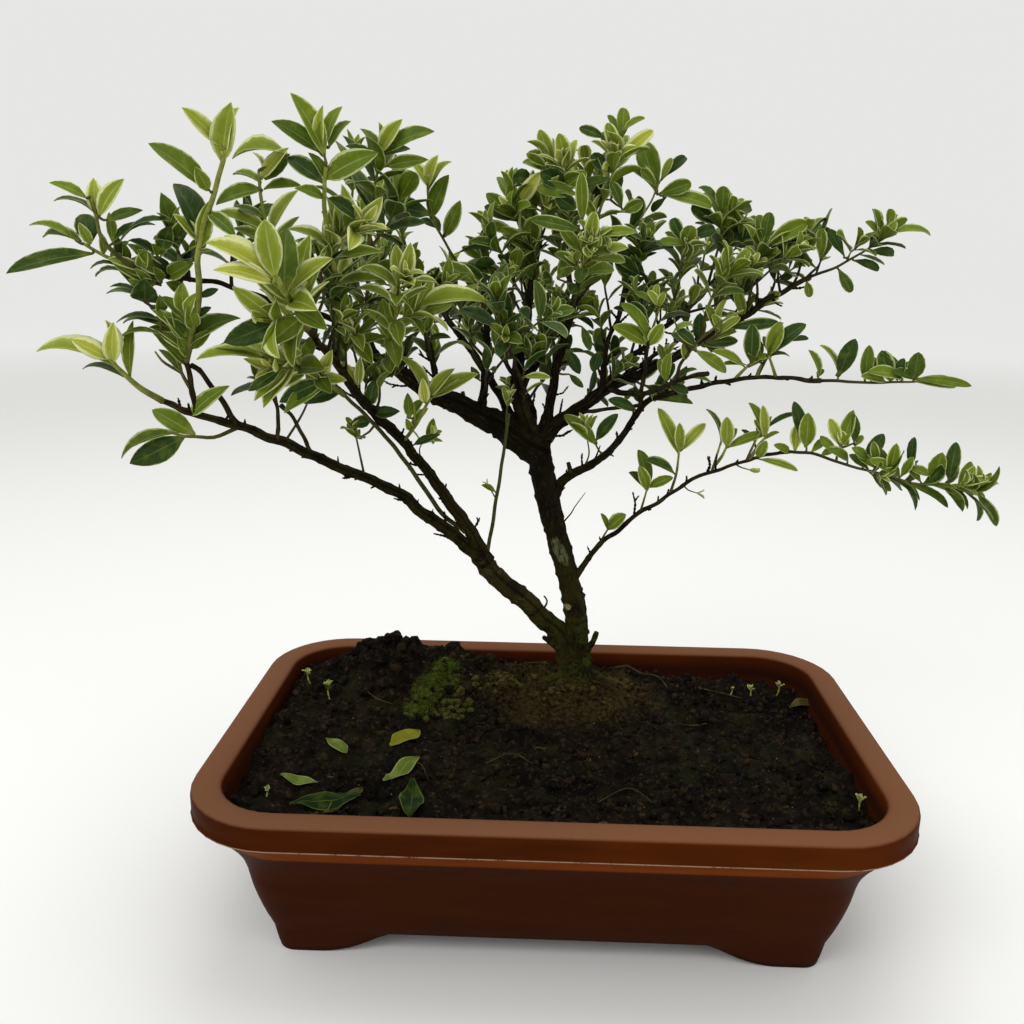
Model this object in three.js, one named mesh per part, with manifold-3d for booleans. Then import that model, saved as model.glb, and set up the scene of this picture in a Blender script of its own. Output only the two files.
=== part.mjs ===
// Serissa bonsai in its oblong plastic tray: tray, soil, woody trunk and limbs, leafy sprays
// and a few fallen leaves. Millimetres, +Z up. The origin is under the middle of the tray,
// on the surface that its feet stand on; the tray's long side runs along X, its front is -Y.
import * as THREE from "three";
import { mergeVertices } from "three/addons/utils/BufferGeometryUtils.js";
import Module from "manifold-3d";

const wasm = await Module();
wasm.setup();

// ---- Driving dimensions -------------------------------------------------------------

const GAP = 0.3; // clearance between pieces that touch on the real plant

const TRAY = { length: 300, width: 200, height: 79, corner: 40, tightCorner: 8 };
const TRAY_CORNER_STEPS = 4;
// Height above the surface, and how far the wall stands in from the rim's edge there.
const TRAY_OUTSIDE = [
  [79, 1.2], [77.8, 0], [68.4, 0], [67.6, 3.2], [60, 9.5], [52, 15.8], [44, 20], [32, 22.8],
  [20, 26.8], [11, 30.8], [0, 33],
];
const TRAY_INSIDE = [[82, 12.7], [77, 12.9], [68, 13.8], [56, 17], [48, 21.5], [40, 24.5], [13.5, 32]];
const UNDERSIDE = 10.4; // height of the arches between the four feet
const LONG_ARCH = { foot: 97, crown: 60, run: 320 };
const SHORT_ARCH = { foot: 40, crown: 14, run: 420 };
const DRAIN = { radius: 5, x: 62, y: 26 };

const SOIL = { level: 67, cellsX: 16, cellsY: 10 };
// Heaps of soil: middle x and y, half-widths in x and y, height.
const SOIL_HEAPS = [
  [13, 54, 46, 30, 9],
  [-72, 64, 50, 24, 13],
  [-100, 20, 40, 40, 3],
  [112, 40, 34, 40, -4],
];
const SOIL_LUMPS = [[0.19, 0.13, 1.3], [-0.11, 0.23, 1.1], [0.33, -0.29, 0.7]];

const LIMB_STEP = 25; // length of a limb's facets, mm
const TWIG_RADIUS = { root: 1.2, tip: 0.75 };
const TWIG_STEP = 30;
const TWIG_SIDES = 3;
const NEAREST_TRIES = 60; // points looked at along a limb to find where a twig starts

// A leaf's blade: its outline is a list of shares of its length and of its greatest width.
const BLADE = {
  thick: 0.65, widest: 0.38, bow: 0.16, root: 0.35, outline: [[0, 0], [0.32, 0.82], [0.68, 1], [1, 0]],
};
const PAIR_SPACING = 15; // between one pair of leaves and the next along a twig
const LEAFY_SHARE = 0.66; // the part of a twig, from its tip, that bears leaves
const TIP_SPREAD = 0.42; // angle between the twig and the pair at its tip, radians
const SIDE_SPREAD = 0.95; // the same for the pairs below it
const LIFT = 0.12; // leaves turn up a little towards the light
const DODGES = [0, 0.45, -0.45, 0.9, -0.9]; // turns tried to keep a leaf clear of a neighbour

// ---- The woody frame: hand-set routes, base to tip, with the radius along each ---------

const WOOD = [
  { name: "trunk", sides: 7, radii: [9.5, 8.6, 6.6, 5.6, 5.2, 5.6, 6.2, 5.4], points: [
    [16, 60, 48], [15, 58, 73], [13, 57, 95], [12, 54, 114], [7, 52, 136], [1, 51, 157],
    [-4, 50, 177], [-8, 50, 196], [-10, 51, 208]] },
  { name: "left_stem", sides: 6, radii: [5.4, 5.2, 5, 4.6], points: [
    [13, 60, 60], [6, 56, 97], [-6, 53, 112], [-14, 50, 121], [-29, 46, 135], [-37, 41, 147]] },
  { name: "low_left_branch", sides: 5, radii: [3.8, 3.1, 2.8, 2.3], points: [
    [-34, 42, 144], [-51, 36, 161], [-61, 30, 169], [-73, 22, 182], [-89, 12, 193],
    [-108, -4, 205], [-121, -16, 214], [-135, -30, 223], [-148, -42, 229], [-156, -51, 235]] },
  { name: "front_branch", sides: 5, radii: [3.9, 3, 2.7, 1.6], points: [
    [-34, 42, 144], [-44, 40, 164], [-56, 32, 183], [-66, 22, 200], [-78, 8, 218],
    [-87, -8, 233], [-91, -26, 247], [-94, -50, 259], [-95, -62, 265]] },
  { name: "green_shoot", sides: 4, radii: [1.8, 1.3], points: [
    [-44, 40, 160], [-54, 38, 168], [-61, 28, 181], [-72, 16, 202], [-83, 2, 220], [-92, -14, 234]] },
  { name: "upright_shoot", sides: 4, radii: [1.5, 1.1], points: [
    [-34, 42, 145], [-31, 38, 162], [-28, 34, 183], [-25, 30, 204], [-23, 28, 221]] },
  { name: "left_limb", sides: 6, radii: [5, 4.6, 3.8, 3.2, 2.2], points: [
    [-8, 50, 199], [-17, 46, 205], [-28, 42, 213], [-40, 37, 220], [-53, 31, 227],
    [-64, 24, 234], [-73, 16, 241], [-81, 9, 248], [-87, 2, 257], [-90, -6, 264]] },
  { name: "left_far_branch", sides: 4, radii: [2, 1.2], points: [
    [-89, -5, 263], [-97, -12, 266], [-108, -20, 269], [-121, -30, 275], [-133, -42, 280],
    [-142, -50, 281], [-153, -58, 284]] },
  { name: "left_upright", sides: 5, radii: [2.8, 1.8], points: [
    [-36, 39, 218], [-35, 38, 235], [-34, 36, 251], [-34, 34, 264], [-28, 33, 272], [-22, 34, 276]] },
  { name: "left_upright_2", sides: 4, radii: [2.3, 1.5], points: [
    [-55, 29, 228], [-59, 22, 248], [-61, 16, 260], [-65, 10, 275]] },
  { name: "left_rear_limb", sides: 5, radii: [3, 1.6], points: [
    [-18, 48, 208], [-26, 52, 222], [-35, 58, 236], [-44, 66, 247], [-54, 76, 258],
    [-62, 84, 268], [-78, 90, 277], [-92, 92, 286]] },
  { name: "centre_limb", sides: 6, radii: [4.4, 3.6, 2.9, 2], points: [
    [-10, 50, 203], [-16, 50, 217], [-19, 51, 228], [-19, 53, 241], [-18, 55, 254],
    [-15, 57, 267], [-13, 58, 284], [-10, 56, 300]] },
  { name: "centre_right_limb", sides: 5, radii: [3.4, 2.6, 1.8], points: [
    [-9, 51, 205], [-5, 53, 216], [-3, 55, 227], [0, 58, 242], [2, 60, 254], [6, 62, 268],
    [9, 64, 282], [13, 66, 298]] },
  { name: "right_limb", sides: 5, radii: [4, 3.2, 2.5, 1.8], points: [
    [-9, 50, 203], [0, 52, 212], [11, 54, 220], [24, 56, 230], [33, 58, 234], [44, 60, 239],
    [56, 61, 245], [69, 60, 254], [79, 58, 259], [89, 56, 266], [99, 55, 274], [109, 54, 280],
    [118, 53, 285]] },
  { name: "right_upright", sides: 4, radii: [2.2, 1.3], points: [
    [22, 56, 229], [23, 61, 246], [26, 64, 258], [30, 68, 267], [34, 72, 279]] },
  { name: "right_rear_limb", sides: 4, radii: [2.4, 1.4], points: [
    [26, 56, 231], [33, 63, 243], [43, 68, 250], [54, 75, 260], [66, 82, 268], [75, 88, 278]] },
  { name: "lower_right_limb", sides: 5, radii: [3.2, 2.4, 2, 1.6, 1.2], points: [
    [-2, 50, 175], [3, 50, 184], [13, 50, 190], [24, 48, 198], [31, 47, 206], [35, 46, 214],
    [40, 44, 222], [46, 42, 228], [58, 39, 232], [71, 36, 235], [88, 32, 239], [107, 28, 240],
    [120, 26, 239]] },
  { name: "inner_twig", sides: 4, radii: [1.5, 1.2], points: [
    [11, 54, 219], [21, 51, 220], [30, 48, 222], [41, 44, 224]] },
  { name: "right_inner_upright", sides: 4, radii: [1.9, 1.2], points: [
    [40, 44, 221], [40, 42, 234], [41, 39, 245], [41, 36, 253]] },
  { name: "long_right_branch", sides: 5, radii: [2.7, 2.1, 1.7, 1.3], points: [
    [10, 52, 131], [23, 50, 151], [32, 48, 160], [42, 44, 171], [56, 40, 181], [69, 36, 191],
    [79, 33, 196], [89, 30, 200], [98, 28, 204], [108, 25, 206]] },
  { name: "back_left_limb", sides: 4, radii: [3.2, 1.5], points: [
    [-12, 51, 209], [-14, 68, 222], [-26, 84, 238], [-42, 97, 252]] },
  { name: "back_right_limb", sides: 4, radii: [3, 1.4], points: [
    [1, 53, 213], [22, 70, 226], [42, 88, 238], [66, 102, 252]] },
  { name: "back_limb", sides: 4, radii: [2.8, 1.4], points: [
    [-18, 52, 231], [-6, 70, 250], [2, 88, 266], [6, 102, 280]] },
  { name: "front_right_twig", sides: 4, radii: [2.2, 1.2], points: [
    [24, 56, 230], [38, 38, 230], [52, 18, 238], [64, 0, 244]] },
  { name: "front_left_twig", sides: 4, radii: [2.2, 1.2], points: [
    [-18, 51, 228], [-16, 34, 232], [-20, 12, 246], [-22, -12, 256]] },
  { name: "left_twig", sides: 4, radii: [1.9, 1.4], points: [
    [-134, -30, 223], [-138, -34, 232], [-141, -41, 243], [-144, -50, 249]] },
  { name: "left_twig_2", sides: 4, radii: [1.8, 1.4], points: [
    [-146, -42, 230], [-145, -48, 241], [-145, -53, 251]] },
  { name: "low_twig", sides: 4, radii: [1.4, 1.1], points: [
    [-121, -16, 214], [-119, -20, 224], [-119, -25, 234]] },
  { name: "low_twig_2", sides: 4, radii: [1.4, 1.1], points: [
    [-108, -4, 205], [-112, -13, 219], [-117, -22, 230]] },
  { name: "trunk_stub_left", sides: 4, radii: [1.8, 1.3], points: [[-4, 54, 110], [-10, 48, 106]] },
  { name: "trunk_stub_right", sides: 4, radii: [2, 1.4], points: [[14, 56, 101], [23, 52, 107]] },
  { name: "trunk_stub_high", sides: 4, radii: [1.5, 1.1], points: [[10, 53, 126], [18, 49, 129]] },
  { name: "limb_stub_left", sides: 4, radii: [1.4, 1], points: [[-44, 35, 222], [-45, 33, 230]] },
  { name: "limb_stub_right", sides: 4, radii: [1.4, 1], points: [[8, 50, 187], [6, 48, 194]] },
  { name: "root_front", sides: 4, radii: [4, 2.2], points: [[15, 57, 76], [12, 43, 74], [8, 30, 66]] },
  { name: "root_right", sides: 4, radii: [4.2, 2], points: [[16, 58, 78], [30, 54, 74], [46, 50, 65]] },
  { name: "root_left", sides: 4, radii: [4, 2], points: [[12, 58, 77], [-3, 54, 74], [-16, 50, 66]] },
  { name: "root_back", sides: 4, radii: [4, 2.2], points: [[16, 60, 77], [19, 69, 73], [22, 76, 65]] },
];

// ---- Leafy sprays: the first twig grows from the nearest wood, the others from the first --

const TONES = { young: 0x9aa84a, mature: 0x5f7a1e, dark: 0x35521f };

const SPRAYS = [
  { name: "far_left", tone: "mature", leaf: 22, twigs: [
    [[-153, -58, 284], [-161, -64, 288], [-166, -70, 295], [-167, -73, 304], [-167, -75, 310]],
    [[-161, -64, 288], [-170, -71, 291], [-182, -77, 290]],
    [[-156, -60, 286], [-154, -64, 294], [-152, -68, 302]]] },
  { name: "left_upper", tone: "dark", leaf: 18, twigs: [
    [[-142, -50, 281], [-143, -58, 291], [-143, -62, 299]]] },
  { name: "left_middle", tone: "mature", leaf: 20, twigs: [
    [[-145, -46, 237], [-151, -54, 247], [-156, -61, 258], [-159, -66, 269]],
    [[-152, -56, 250], [-160, -64, 254], [-165, -71, 258]]] },
  { name: "long_left_shoot", tone: "young", leaf: 24, twigs: [
    [[-145, -53, 251], [-139, -60, 263], [-133, -68, 278], [-130, -76, 290], [-124, -84, 302],
      [-118, -90, 311], [-114, -95, 318], [-111, -98, 324]]] },
  { name: "left_tip", tone: "young", leaf: 24, twigs: [
    [[-156, -51, 235], [-162, -60, 242], [-166, -66, 249], [-169, -71, 255]],
    [[-161, -58, 240], [-158, -62, 247], [-155, -66, 250]]] },
  { name: "left_low", tone: "mature", leaf: 20, twigs: [
    [[-133, -28, 220], [-142, -34, 218], [-150, -40, 219], [-157, -46, 222]]] },
  { name: "left_hanging", tone: "dark", leaf: 18, twigs: [
    [[-119, -25, 234], [-119, -30, 241], [-119, -34, 248]]] },
  { name: "front_large", tone: "young", leaf: 27, twigs: [
    [[-95, -62, 265], [-94, -80, 272], [-94, -97, 279], [-93, -110, 284]],
    [[-95, -70, 267], [-101, -78, 268], [-107, -85, 269]]] },
  { name: "front_low", tone: "young", leaf: 25, twigs: [
    [[-92, -14, 234], [-98, -36, 244], [-103, -58, 251], [-107, -74, 254]]] },
  { name: "front_centre", tone: "young", leaf: 24, twigs: [
    [[-90, -6, 264], [-88, -40, 282], [-86, -64, 298], [-84, -78, 311], [-81, -87, 320]],
    [[-87, -56, 292], [-79, -64, 299], [-74, -69, 306]]] },
  { name: "front_upper", tone: "young", leaf: 22, twigs: [
    [[-110, -21, 270], [-108, -48, 287], [-108, -66, 302], [-107, -74, 311], [-106, -79, 319]]] },
  { name: "left_rear", tone: "dark", leaf: 18, twigs: [
    [[-130, -39, 279], [-128, -44, 290], [-124, -48, 298], [-119, -51, 305]]] },
  { name: "left_top", tone: "mature", leaf: 20, twigs: [
    [[-86, 3, 256], [-82, -8, 277], [-79, -18, 302], [-75, -26, 318], [-71, -31, 330]],
    [[-80, -15, 295], [-70, -20, 305], [-65, -23, 315]]] },
  { name: "left_top_rear", tone: "mature", leaf: 19, twigs: [
    [[-81, 9, 248], [-88, 10, 272], [-92, 12, 300], [-91, 14, 320], [-90, 16, 333]]] },
  { name: "slanting", tone: "mature", leaf: 18, twigs: [
    [[-34, 34, 264], [-38, 30, 275], [-46, 24, 288], [-54, 18, 302], [-58, 12, 315], [-58, 8, 325]],
    [[-52, 19, 299], [-48, 16, 310]]] },
  { name: "left_inner", tone: "mature", leaf: 19, twigs: [
    [[-65, 10, 275], [-67, 9, 289], [-70, 8, 304], [-72, 8, 316]]] },
  { name: "inner_front", tone: "young", leaf: 21, twigs: [
    [[-73, 16, 241], [-74, -4, 252], [-68, -26, 265], [-64, -40, 278], [-62, -47, 287]],
    [[-68, -26, 265], [-57, -34, 271], [-48, -40, 273]]] },
  { name: "inner_low", tone: "young", leaf: 18, twigs: [
    [[-88, 0, 259], [-86, -14, 256], [-84, -26, 259], [-84, -34, 263]]] },
  { name: "low_light", tone: "young", leaf: 20, twigs: [
    [[-71, 16, 208], [-64, 8, 218], [-57, -2, 230], [-49, -8, 237], [-43, -11, 241]],
    [[-64, 8, 218], [-64, 2, 228]]] },
  { name: "centre_left_low", tone: "mature", leaf: 17, twigs: [
    [[-27, 33, 272], [-32, 22, 277], [-37, 14, 281], [-40, 8, 284]]] },
  { name: "centre_left", tone: "mature", leaf: 18, twigs: [
    [[-15, 57, 267], [-22, 50, 281], [-29, 46, 295], [-34, 43, 305]],
    [[-22, 50, 281], [-31, 52, 286], [-40, 53, 292]]] },
  { name: "centre_upper_left", tone: "mature", leaf: 18, twigs: [
    [[-13, 58, 284], [-17, 54, 300], [-22, 50, 313], [-24, 48, 323]]] },
  { name: "centre_top", tone: "young", leaf: 18, twigs: [
    [[-10, 56, 300], [-9, 52, 316], [-7, 48, 329], [-6, 46, 338]],
    [[-9, 52, 316], [-1, 45, 323], [2, 41, 332]]] },
  { name: "top", tone: "young", leaf: 20, twigs: [
    [[13, 66, 298], [18, 62, 314], [23, 58, 330], [26, 55, 342]],
    [[17, 63, 311], [13, 67, 324], [11, 70, 336]]] },
  { name: "top_right", tone: "mature", leaf: 18, twigs: [
    [[9, 64, 282], [22, 70, 296], [35, 74, 307], [43, 76, 318], [47, 76, 328]]] },
  { name: "centre_front", tone: "young", leaf: 19, twigs: [
    [[6, 62, 268], [9, 44, 281], [11, 28, 292], [13, 18, 300]],
    [[11, 30, 290], [20, 24, 295], [28, 20, 299]]] },
  { name: "centre_right", tone: "dark", leaf: 17, twigs: [
    [[34, 72, 279], [37, 64, 290], [40, 59, 298]]] },
  { name: "centre_right_low", tone: "mature", leaf: 16, twigs: [
    [[41, 36, 253], [43, 32, 262], [45, 28, 271]],
    [[43, 33, 260], [35, 33, 267]]] },
  { name: "front_left", tone: "dark", leaf: 18, twigs: [
    [[-22, -12, 256], [-25, -26, 264], [-26, -36, 276]],
    [[-24, -20, 260], [-13, -32, 264], [-5, -42, 270]]] },
  { name: "front_right", tone: "mature", leaf: 17, twigs: [
    [[64, 0, 244], [71, -12, 256], [75, -20, 270]],
    [[68, -7, 250], [80, -14, 255], [92, -24, 264]],
    [[66, -3, 247], [60, -18, 248], [55, -34, 254]]] },
  { name: "right_rear", tone: "mature", leaf: 17, twigs: [
    [[75, 88, 278], [77, 84, 291], [79, 80, 303], [79, 78, 313]],
    [[77, 84, 291], [86, 80, 297], [92, 78, 304]]] },
  { name: "right_middle", tone: "mature", leaf: 16, twigs: [
    [[54, 75, 260], [57, 68, 275], [58, 62, 288], [58, 58, 298]]] },
  { name: "right_top", tone: "mature", leaf: 17, twigs: [
    [[89, 56, 266], [91, 52, 281], [93, 49, 294], [94, 47, 305]],
    [[91, 52, 281], [100, 46, 290], [106, 41, 299]]] },
  { name: "right_front", tone: "young", leaf: 20, twigs: [
    [[69, 60, 254], [69, 48, 268], [72, 38, 279], [79, 32, 288]]] },
  { name: "right_end", tone: "mature", leaf: 15, twigs: [
    [[118, 53, 285], [128, 50, 289], [137, 47, 295], [145, 43, 301], [148, 41, 306]],
    [[121, 52, 286], [122, 51, 295], [120, 50, 303]],
    [[133, 49, 291], [133, 43, 297]]] },
  { name: "right_inner", tone: "dark", leaf: 17, twigs: [
    [[56, 61, 245], [61, 52, 250], [66, 44, 253], [74, 38, 256]]] },
  { name: "right_low", tone: "mature", leaf: 18, twigs: [
    [[92, 31, 239], [95, 28, 249], [97, 26, 257], [100, 24, 265]],
    [[94, 29, 246], [86, 27, 251]]] },
  { name: "right_long_end", tone: "mature", leaf: 16, twigs: [
    [[120, 26, 239], [132, 24, 239], [145, 22, 239], [158, 20, 240], [169, 18, 241]],
    [[126, 25, 240], [128, 24, 249]],
    [[145, 22, 239], [147, 18, 246]]] },
  { name: "low_right_inner", tone: "young", leaf: 17, twigs: [
    [[56, 40, 181], [58, 37, 193], [58, 34, 204], [58, 32, 210]]] },
  { name: "low_right_first", tone: "young", leaf: 14, twigs: [
    [[42, 44, 171], [44, 42, 180], [45, 40, 189]]] },
  { name: "low_right_upper", tone: "young", leaf: 16, twigs: [
    [[89, 30, 200], [92, 27, 210], [96, 24, 219]]] },
  { name: "low_right_twig", tone: "young", leaf: 15, twigs: [
    [[74, 34, 194], [76, 31, 204], [77, 28, 212]]] },
  { name: "low_right_end", tone: "mature", leaf: 16, twigs: [
    [[108, 25, 206], [120, 22, 205], [134, 18, 201], [148, 14, 198], [162, 10, 195],
      [176, 7, 194], [187, 4, 192]],
    [[111, 24, 206], [113, 21, 215], [114, 18, 222]],
    [[129, 20, 203], [131, 18, 211], [132, 16, 218]],
    [[153, 13, 197], [156, 11, 204]]] },
  { name: "rear_left", tone: "mature", leaf: 18, twigs: [
    [[-92, 92, 286], [-98, 96, 300], [-102, 100, 314]],
    [[-93, 93, 289], [-106, 87, 296]],
    [[-94, 94, 291], [-100, 104, 290], [-107, 111, 295]]] },
  { name: "rear_left_inner", tone: "mature", leaf: 18, twigs: [
    [[-58, 80, 263], [-60, 92, 276], [-62, 104, 290]]] },
  { name: "back_left", tone: "mature", leaf: 18, twigs: [
    [[-42, 97, 252], [-54, 106, 262], [-64, 112, 274]],
    [[-52, 104, 260], [-66, 102, 258], [-78, 108, 262]],
    [[-45, 99, 255], [-38, 110, 268]]] },
  { name: "back_top", tone: "mature", leaf: 18, twigs: [
    [[6, 102, 280], [4, 112, 298], [0, 116, 314]],
    [[5, 106, 287], [22, 108, 298]]] },
  { name: "back_right", tone: "mature", leaf: 17, twigs: [
    [[66, 102, 252], [80, 110, 262], [90, 114, 276]],
    [[69, 104, 254], [66, 116, 266]]] },
  { name: "back_middle", tone: "dark", leaf: 17, twigs: [
    [[-14, 68, 222], [-6, 88, 232], [2, 106, 244]]] },
  { name: "back_right_low", tone: "dark", leaf: 17, twigs: [
    [[36, 83, 234], [48, 98, 226], [62, 110, 226]]] },
];

// ---- Leaves that have dropped on the soil: x, y, heading in degrees, length, tone ---------

const FALLEN = [
  { name: "fallen_leaf_pale", x: -106, y: -9, heading: -42, length: 18, tone: "young" },
  { name: "fallen_leaf_yellow", x: -75, y: -12, heading: 58, length: 20, tone: "young" },
  { name: "fallen_leaf_long", x: -73, y: -44, heading: 74, length: 26, tone: "young" },
  { name: "fallen_leaf_dark", x: -60, y: -46, heading: -80, length: 24, tone: "dark" },
  { name: "fallen_leaf_small", x: -119, y: -40, heading: -14, length: 18, tone: "mature" },
  { name: "fallen_leaf_green", x: -112, y: -64, heading: 12, length: 26, tone: "mature" },
];

// ---- Helpers -------------------------------------------------------------------------

function seededDraw(seed) {
  let state = seed >>> 0;
  return () => {
    state = (Math.imul(state, 1664525) + 1013904223) >>> 0;
    return state / 2 ** 32;
  };
}

function toSolid(geometry) {
  const bare = geometry.clone();
  bare.deleteAttribute("normal");
  bare.deleteAttribute("uv");
  const merged = mergeVertices(bare, 1e-4);
  const corners = merged.index.array;
  const triVerts = [];
  for (let c = 0; c < corners.length; c += 3) {
    const [i, j, k] = corners.slice(c, c + 3);
    if (i !== j && j !== k && k !== i) {
      triVerts.push(i, j, k);
    }
  }
  return new wasm.Manifold(new wasm.Mesh({
    numProp: 3,
    vertProperties: new Float32Array(merged.attributes.position.array),
    triVerts: new Uint32Array(triVerts),
  }));
}

function toMesh(name, solid, color, roughness = 0.7) {
  const { numProp, vertProperties, triVerts } = solid.getMesh();
  const geometry = new THREE.BufferGeometry();
  const positions = new Float32Array((vertProperties.length / numProp) * 3);
  for (let v = 0; v < positions.length / 3; v++) {
    positions.set(vertProperties.subarray(v * numProp, v * numProp + 3), v * 3);
  }
  geometry.setAttribute("position", new THREE.BufferAttribute(positions, 3));
  geometry.setIndex(new THREE.BufferAttribute(new Uint32Array(triVerts), 1));
  geometry.computeVertexNormals();
  const mesh = new THREE.Mesh(geometry, new THREE.MeshStandardMaterial({ color, roughness, metalness: 0 }));
  mesh.name = name;
  return mesh;
}

function largestPart(solid) {
  const parts = solid.decompose();
  return parts.reduce((best, part) => (part.volume() > best.volume() ? part : best), parts[0]);
}

// Moves every vertex of a unit cylinder: place(side, level, onRim) gives its new point, with
// side counted round the cylinder and level from 0 at its first end to 1 at its last.
function bentCylinder(sides, levels, place) {
  const geometry = new THREE.CylinderGeometry(1, 1, 1, sides, levels);
  const position = geometry.attributes.position;
  for (let v = 0; v < position.count; v++) {
    const x = position.getX(v);
    const z = position.getZ(v);
    const side = Math.round((Math.atan2(x, z) / (2 * Math.PI)) * sides + sides) % sides;
    const point = place(side, 0.5 - position.getY(v), Math.hypot(x, z) > 0.5);
    position.setXYZ(v, point.x, point.y, point.z);
  }
  return geometry;
}

// ---- Tray -------------------------------------------------------------------------------

const RIM_SIDES = 4 * (TRAY_CORNER_STEPS + 1);

// The rounded oblong that the tray has at a given distance in from its rim's edge.
function trayOutline(side, inset) {
  const corner = Math.floor(side / (TRAY_CORNER_STEPS + 1));
  const step = side % (TRAY_CORNER_STEPS + 1);
  const turn = (corner + step / TRAY_CORNER_STEPS) * (Math.PI / 2);
  const radius = Math.max(TRAY.tightCorner, TRAY.corner - inset);
  const signX = corner === 0 || corner === 3 ? 1 : -1;
  const signY = corner < 2 ? 1 : -1;
  return [
    signX * (TRAY.length / 2 - inset - radius) + radius * Math.cos(turn),
    signY * (TRAY.width / 2 - inset - radius) + radius * Math.sin(turn),
  ];
}

// A block with the tray's outline, through a list of heights and insets, top first.
function trayBlock(profile) {
  const last = profile.length - 1;
  return toSolid(bentCylinder(RIM_SIDES, last, (side, level, onRim) => {
    const [height, inset] = profile[Math.round(level * last)];
    const [x, y] = onRim ? trayOutline(side, inset) : [0, 0];
    return new THREE.Vector3(x, y, height);
  }));
}

// The space under the tray between two feet, straight through from one side to the other.
function footArch({ foot, crown, run }) {
  const outline = new THREE.Shape();
  outline.moveTo(-foot, -1);
  outline.lineTo(-foot, 0);
  outline.bezierCurveTo(-foot + 20, 1.5, -crown - 14, UNDERSIDE, -crown, UNDERSIDE);
  outline.lineTo(crown, UNDERSIDE);
  outline.bezierCurveTo(crown + 14, UNDERSIDE, foot - 20, 1.5, foot, 0);
  outline.lineTo(foot, -1);
  const arch = new THREE.ExtrudeGeometry(outline, { depth: run, bevelEnabled: false, curveSegments: 5 });
  arch.translate(0, 0, -run / 2);
  arch.rotateX(Math.PI / 2);
  return arch;
}

function makeTray() {
  let tray = trayBlock(TRAY_OUTSIDE).subtract(trayBlock(TRAY_INSIDE));
  tray = tray.subtract(toSolid(footArch(LONG_ARCH)));
  tray = tray.subtract(toSolid(footArch(SHORT_ARCH).rotateZ(Math.PI / 2)));
  for (const signX of [-1, 1]) {
    for (const signY of [-1, 1]) {
      const hole = new THREE.CylinderGeometry(DRAIN.radius, DRAIN.radius, 3 * UNDERSIDE, 12);
      hole.rotateX(Math.PI / 2);
      hole.translate(signX * DRAIN.x, signY * DRAIN.y, UNDERSIDE);
      tray = tray.subtract(toSolid(hole));
    }
  }
  return tray;
}

// ---- Soil -------------------------------------------------------------------------------

function soilHeight(x, y) {
  let height = SOIL.level;
  for (const [midX, midY, wideX, wideY, rise] of SOIL_HEAPS) {
    height += rise * Math.exp(-(((x - midX) / wideX) ** 2) - ((y - midY) / wideY) ** 2);
  }
  for (const [waveX, waveY, rise] of SOIL_LUMPS) {
    height += rise * Math.sin(waveX * x + waveY * y) * Math.cos(waveY * x - waveX * y);
  }
  return height;
}

function makeSoil(wideWood) {
  const block = new THREE.BoxGeometry(TRAY.length, TRAY.width, 2, SOIL.cellsX, SOIL.cellsY, 1);
  const position = block.attributes.position;
  for (let v = 0; v < position.count; v++) {
    const top = soilHeight(position.getX(v), position.getY(v));
    position.setZ(v, position.getZ(v) > 0 ? top : 0);
  }
  const inside = TRAY_INSIDE.map(([height, inset], i) => [
    height + (i === TRAY_INSIDE.length - 1 ? GAP : 0), inset + GAP]);
  return largestPart(toSolid(block).intersect(trayBlock(inside)).subtract(wideWood));
}

// ---- Wood -------------------------------------------------------------------------------

// A smooth route through the points, in straight pieces about one facet long. What grows from
// it then starts inside its solid.
function facettedRoute(points, facet) {
  const smooth = new THREE.CatmullRomCurve3(
    points.map((point) => new THREE.Vector3(...point)), false, "catmullrom", 0.5);
  const stops = smooth.getSpacedPoints(stepsAlong(smooth, facet));
  const route = new THREE.CurvePath();
  for (let s = 1; s < stops.length; s++) {
    route.add(new THREE.LineCurve3(stops[s - 1], stops[s]));
  }
  return route;
}

function stepsAlong(curve, facet) {
  return Math.max(1, Math.round(curve.getLength() / facet));
}

function radiusAt(radii, share) {
  const place = share * (radii.length - 1);
  const first = Math.min(Math.floor(place), radii.length - 2);
  return THREE.MathUtils.lerp(radii[first], radii[first + 1], place - first);
}

// A tapering limb along a route; grown by extra all round, and past both of its ends.
function limb(route, radii, sides, extra = 0) {
  const steps = route.curves.length;
  const { tangents, normals, binormals } = route.computeFrenetFrames(steps);
  return toSolid(bentCylinder(sides, steps, (side, level, onRim) => {
    const step = Math.round(level * steps);
    const turn = (side / sides) * 2 * Math.PI;
    const radius = onRim ? radiusAt(radii, level) + extra : 0;
    const beyond = step === 0 ? -extra : step === steps ? extra : 0;
    return (step === 0 ? route.getPoint(0) : route.curves[step - 1].v2.clone())
      .addScaledVector(tangents[step], beyond)
      .addScaledVector(normals[step], radius * Math.sin(turn))
      .addScaledVector(binormals[step], radius * Math.cos(turn));
  }));
}

function joined(solids) {
  return solids.reduce((sum, solid) => sum.add(solid));
}

const woodRoutes = WOOD.map(({ points }) => facettedRoute(points, LIMB_STEP));

function makeWood(extra) {
  return joined(WOOD.map(({ radii, sides }, i) => limb(woodRoutes[i], radii, sides, extra)));
}

// ---- Leaves and twigs -----------------------------------------------------------------

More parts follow.
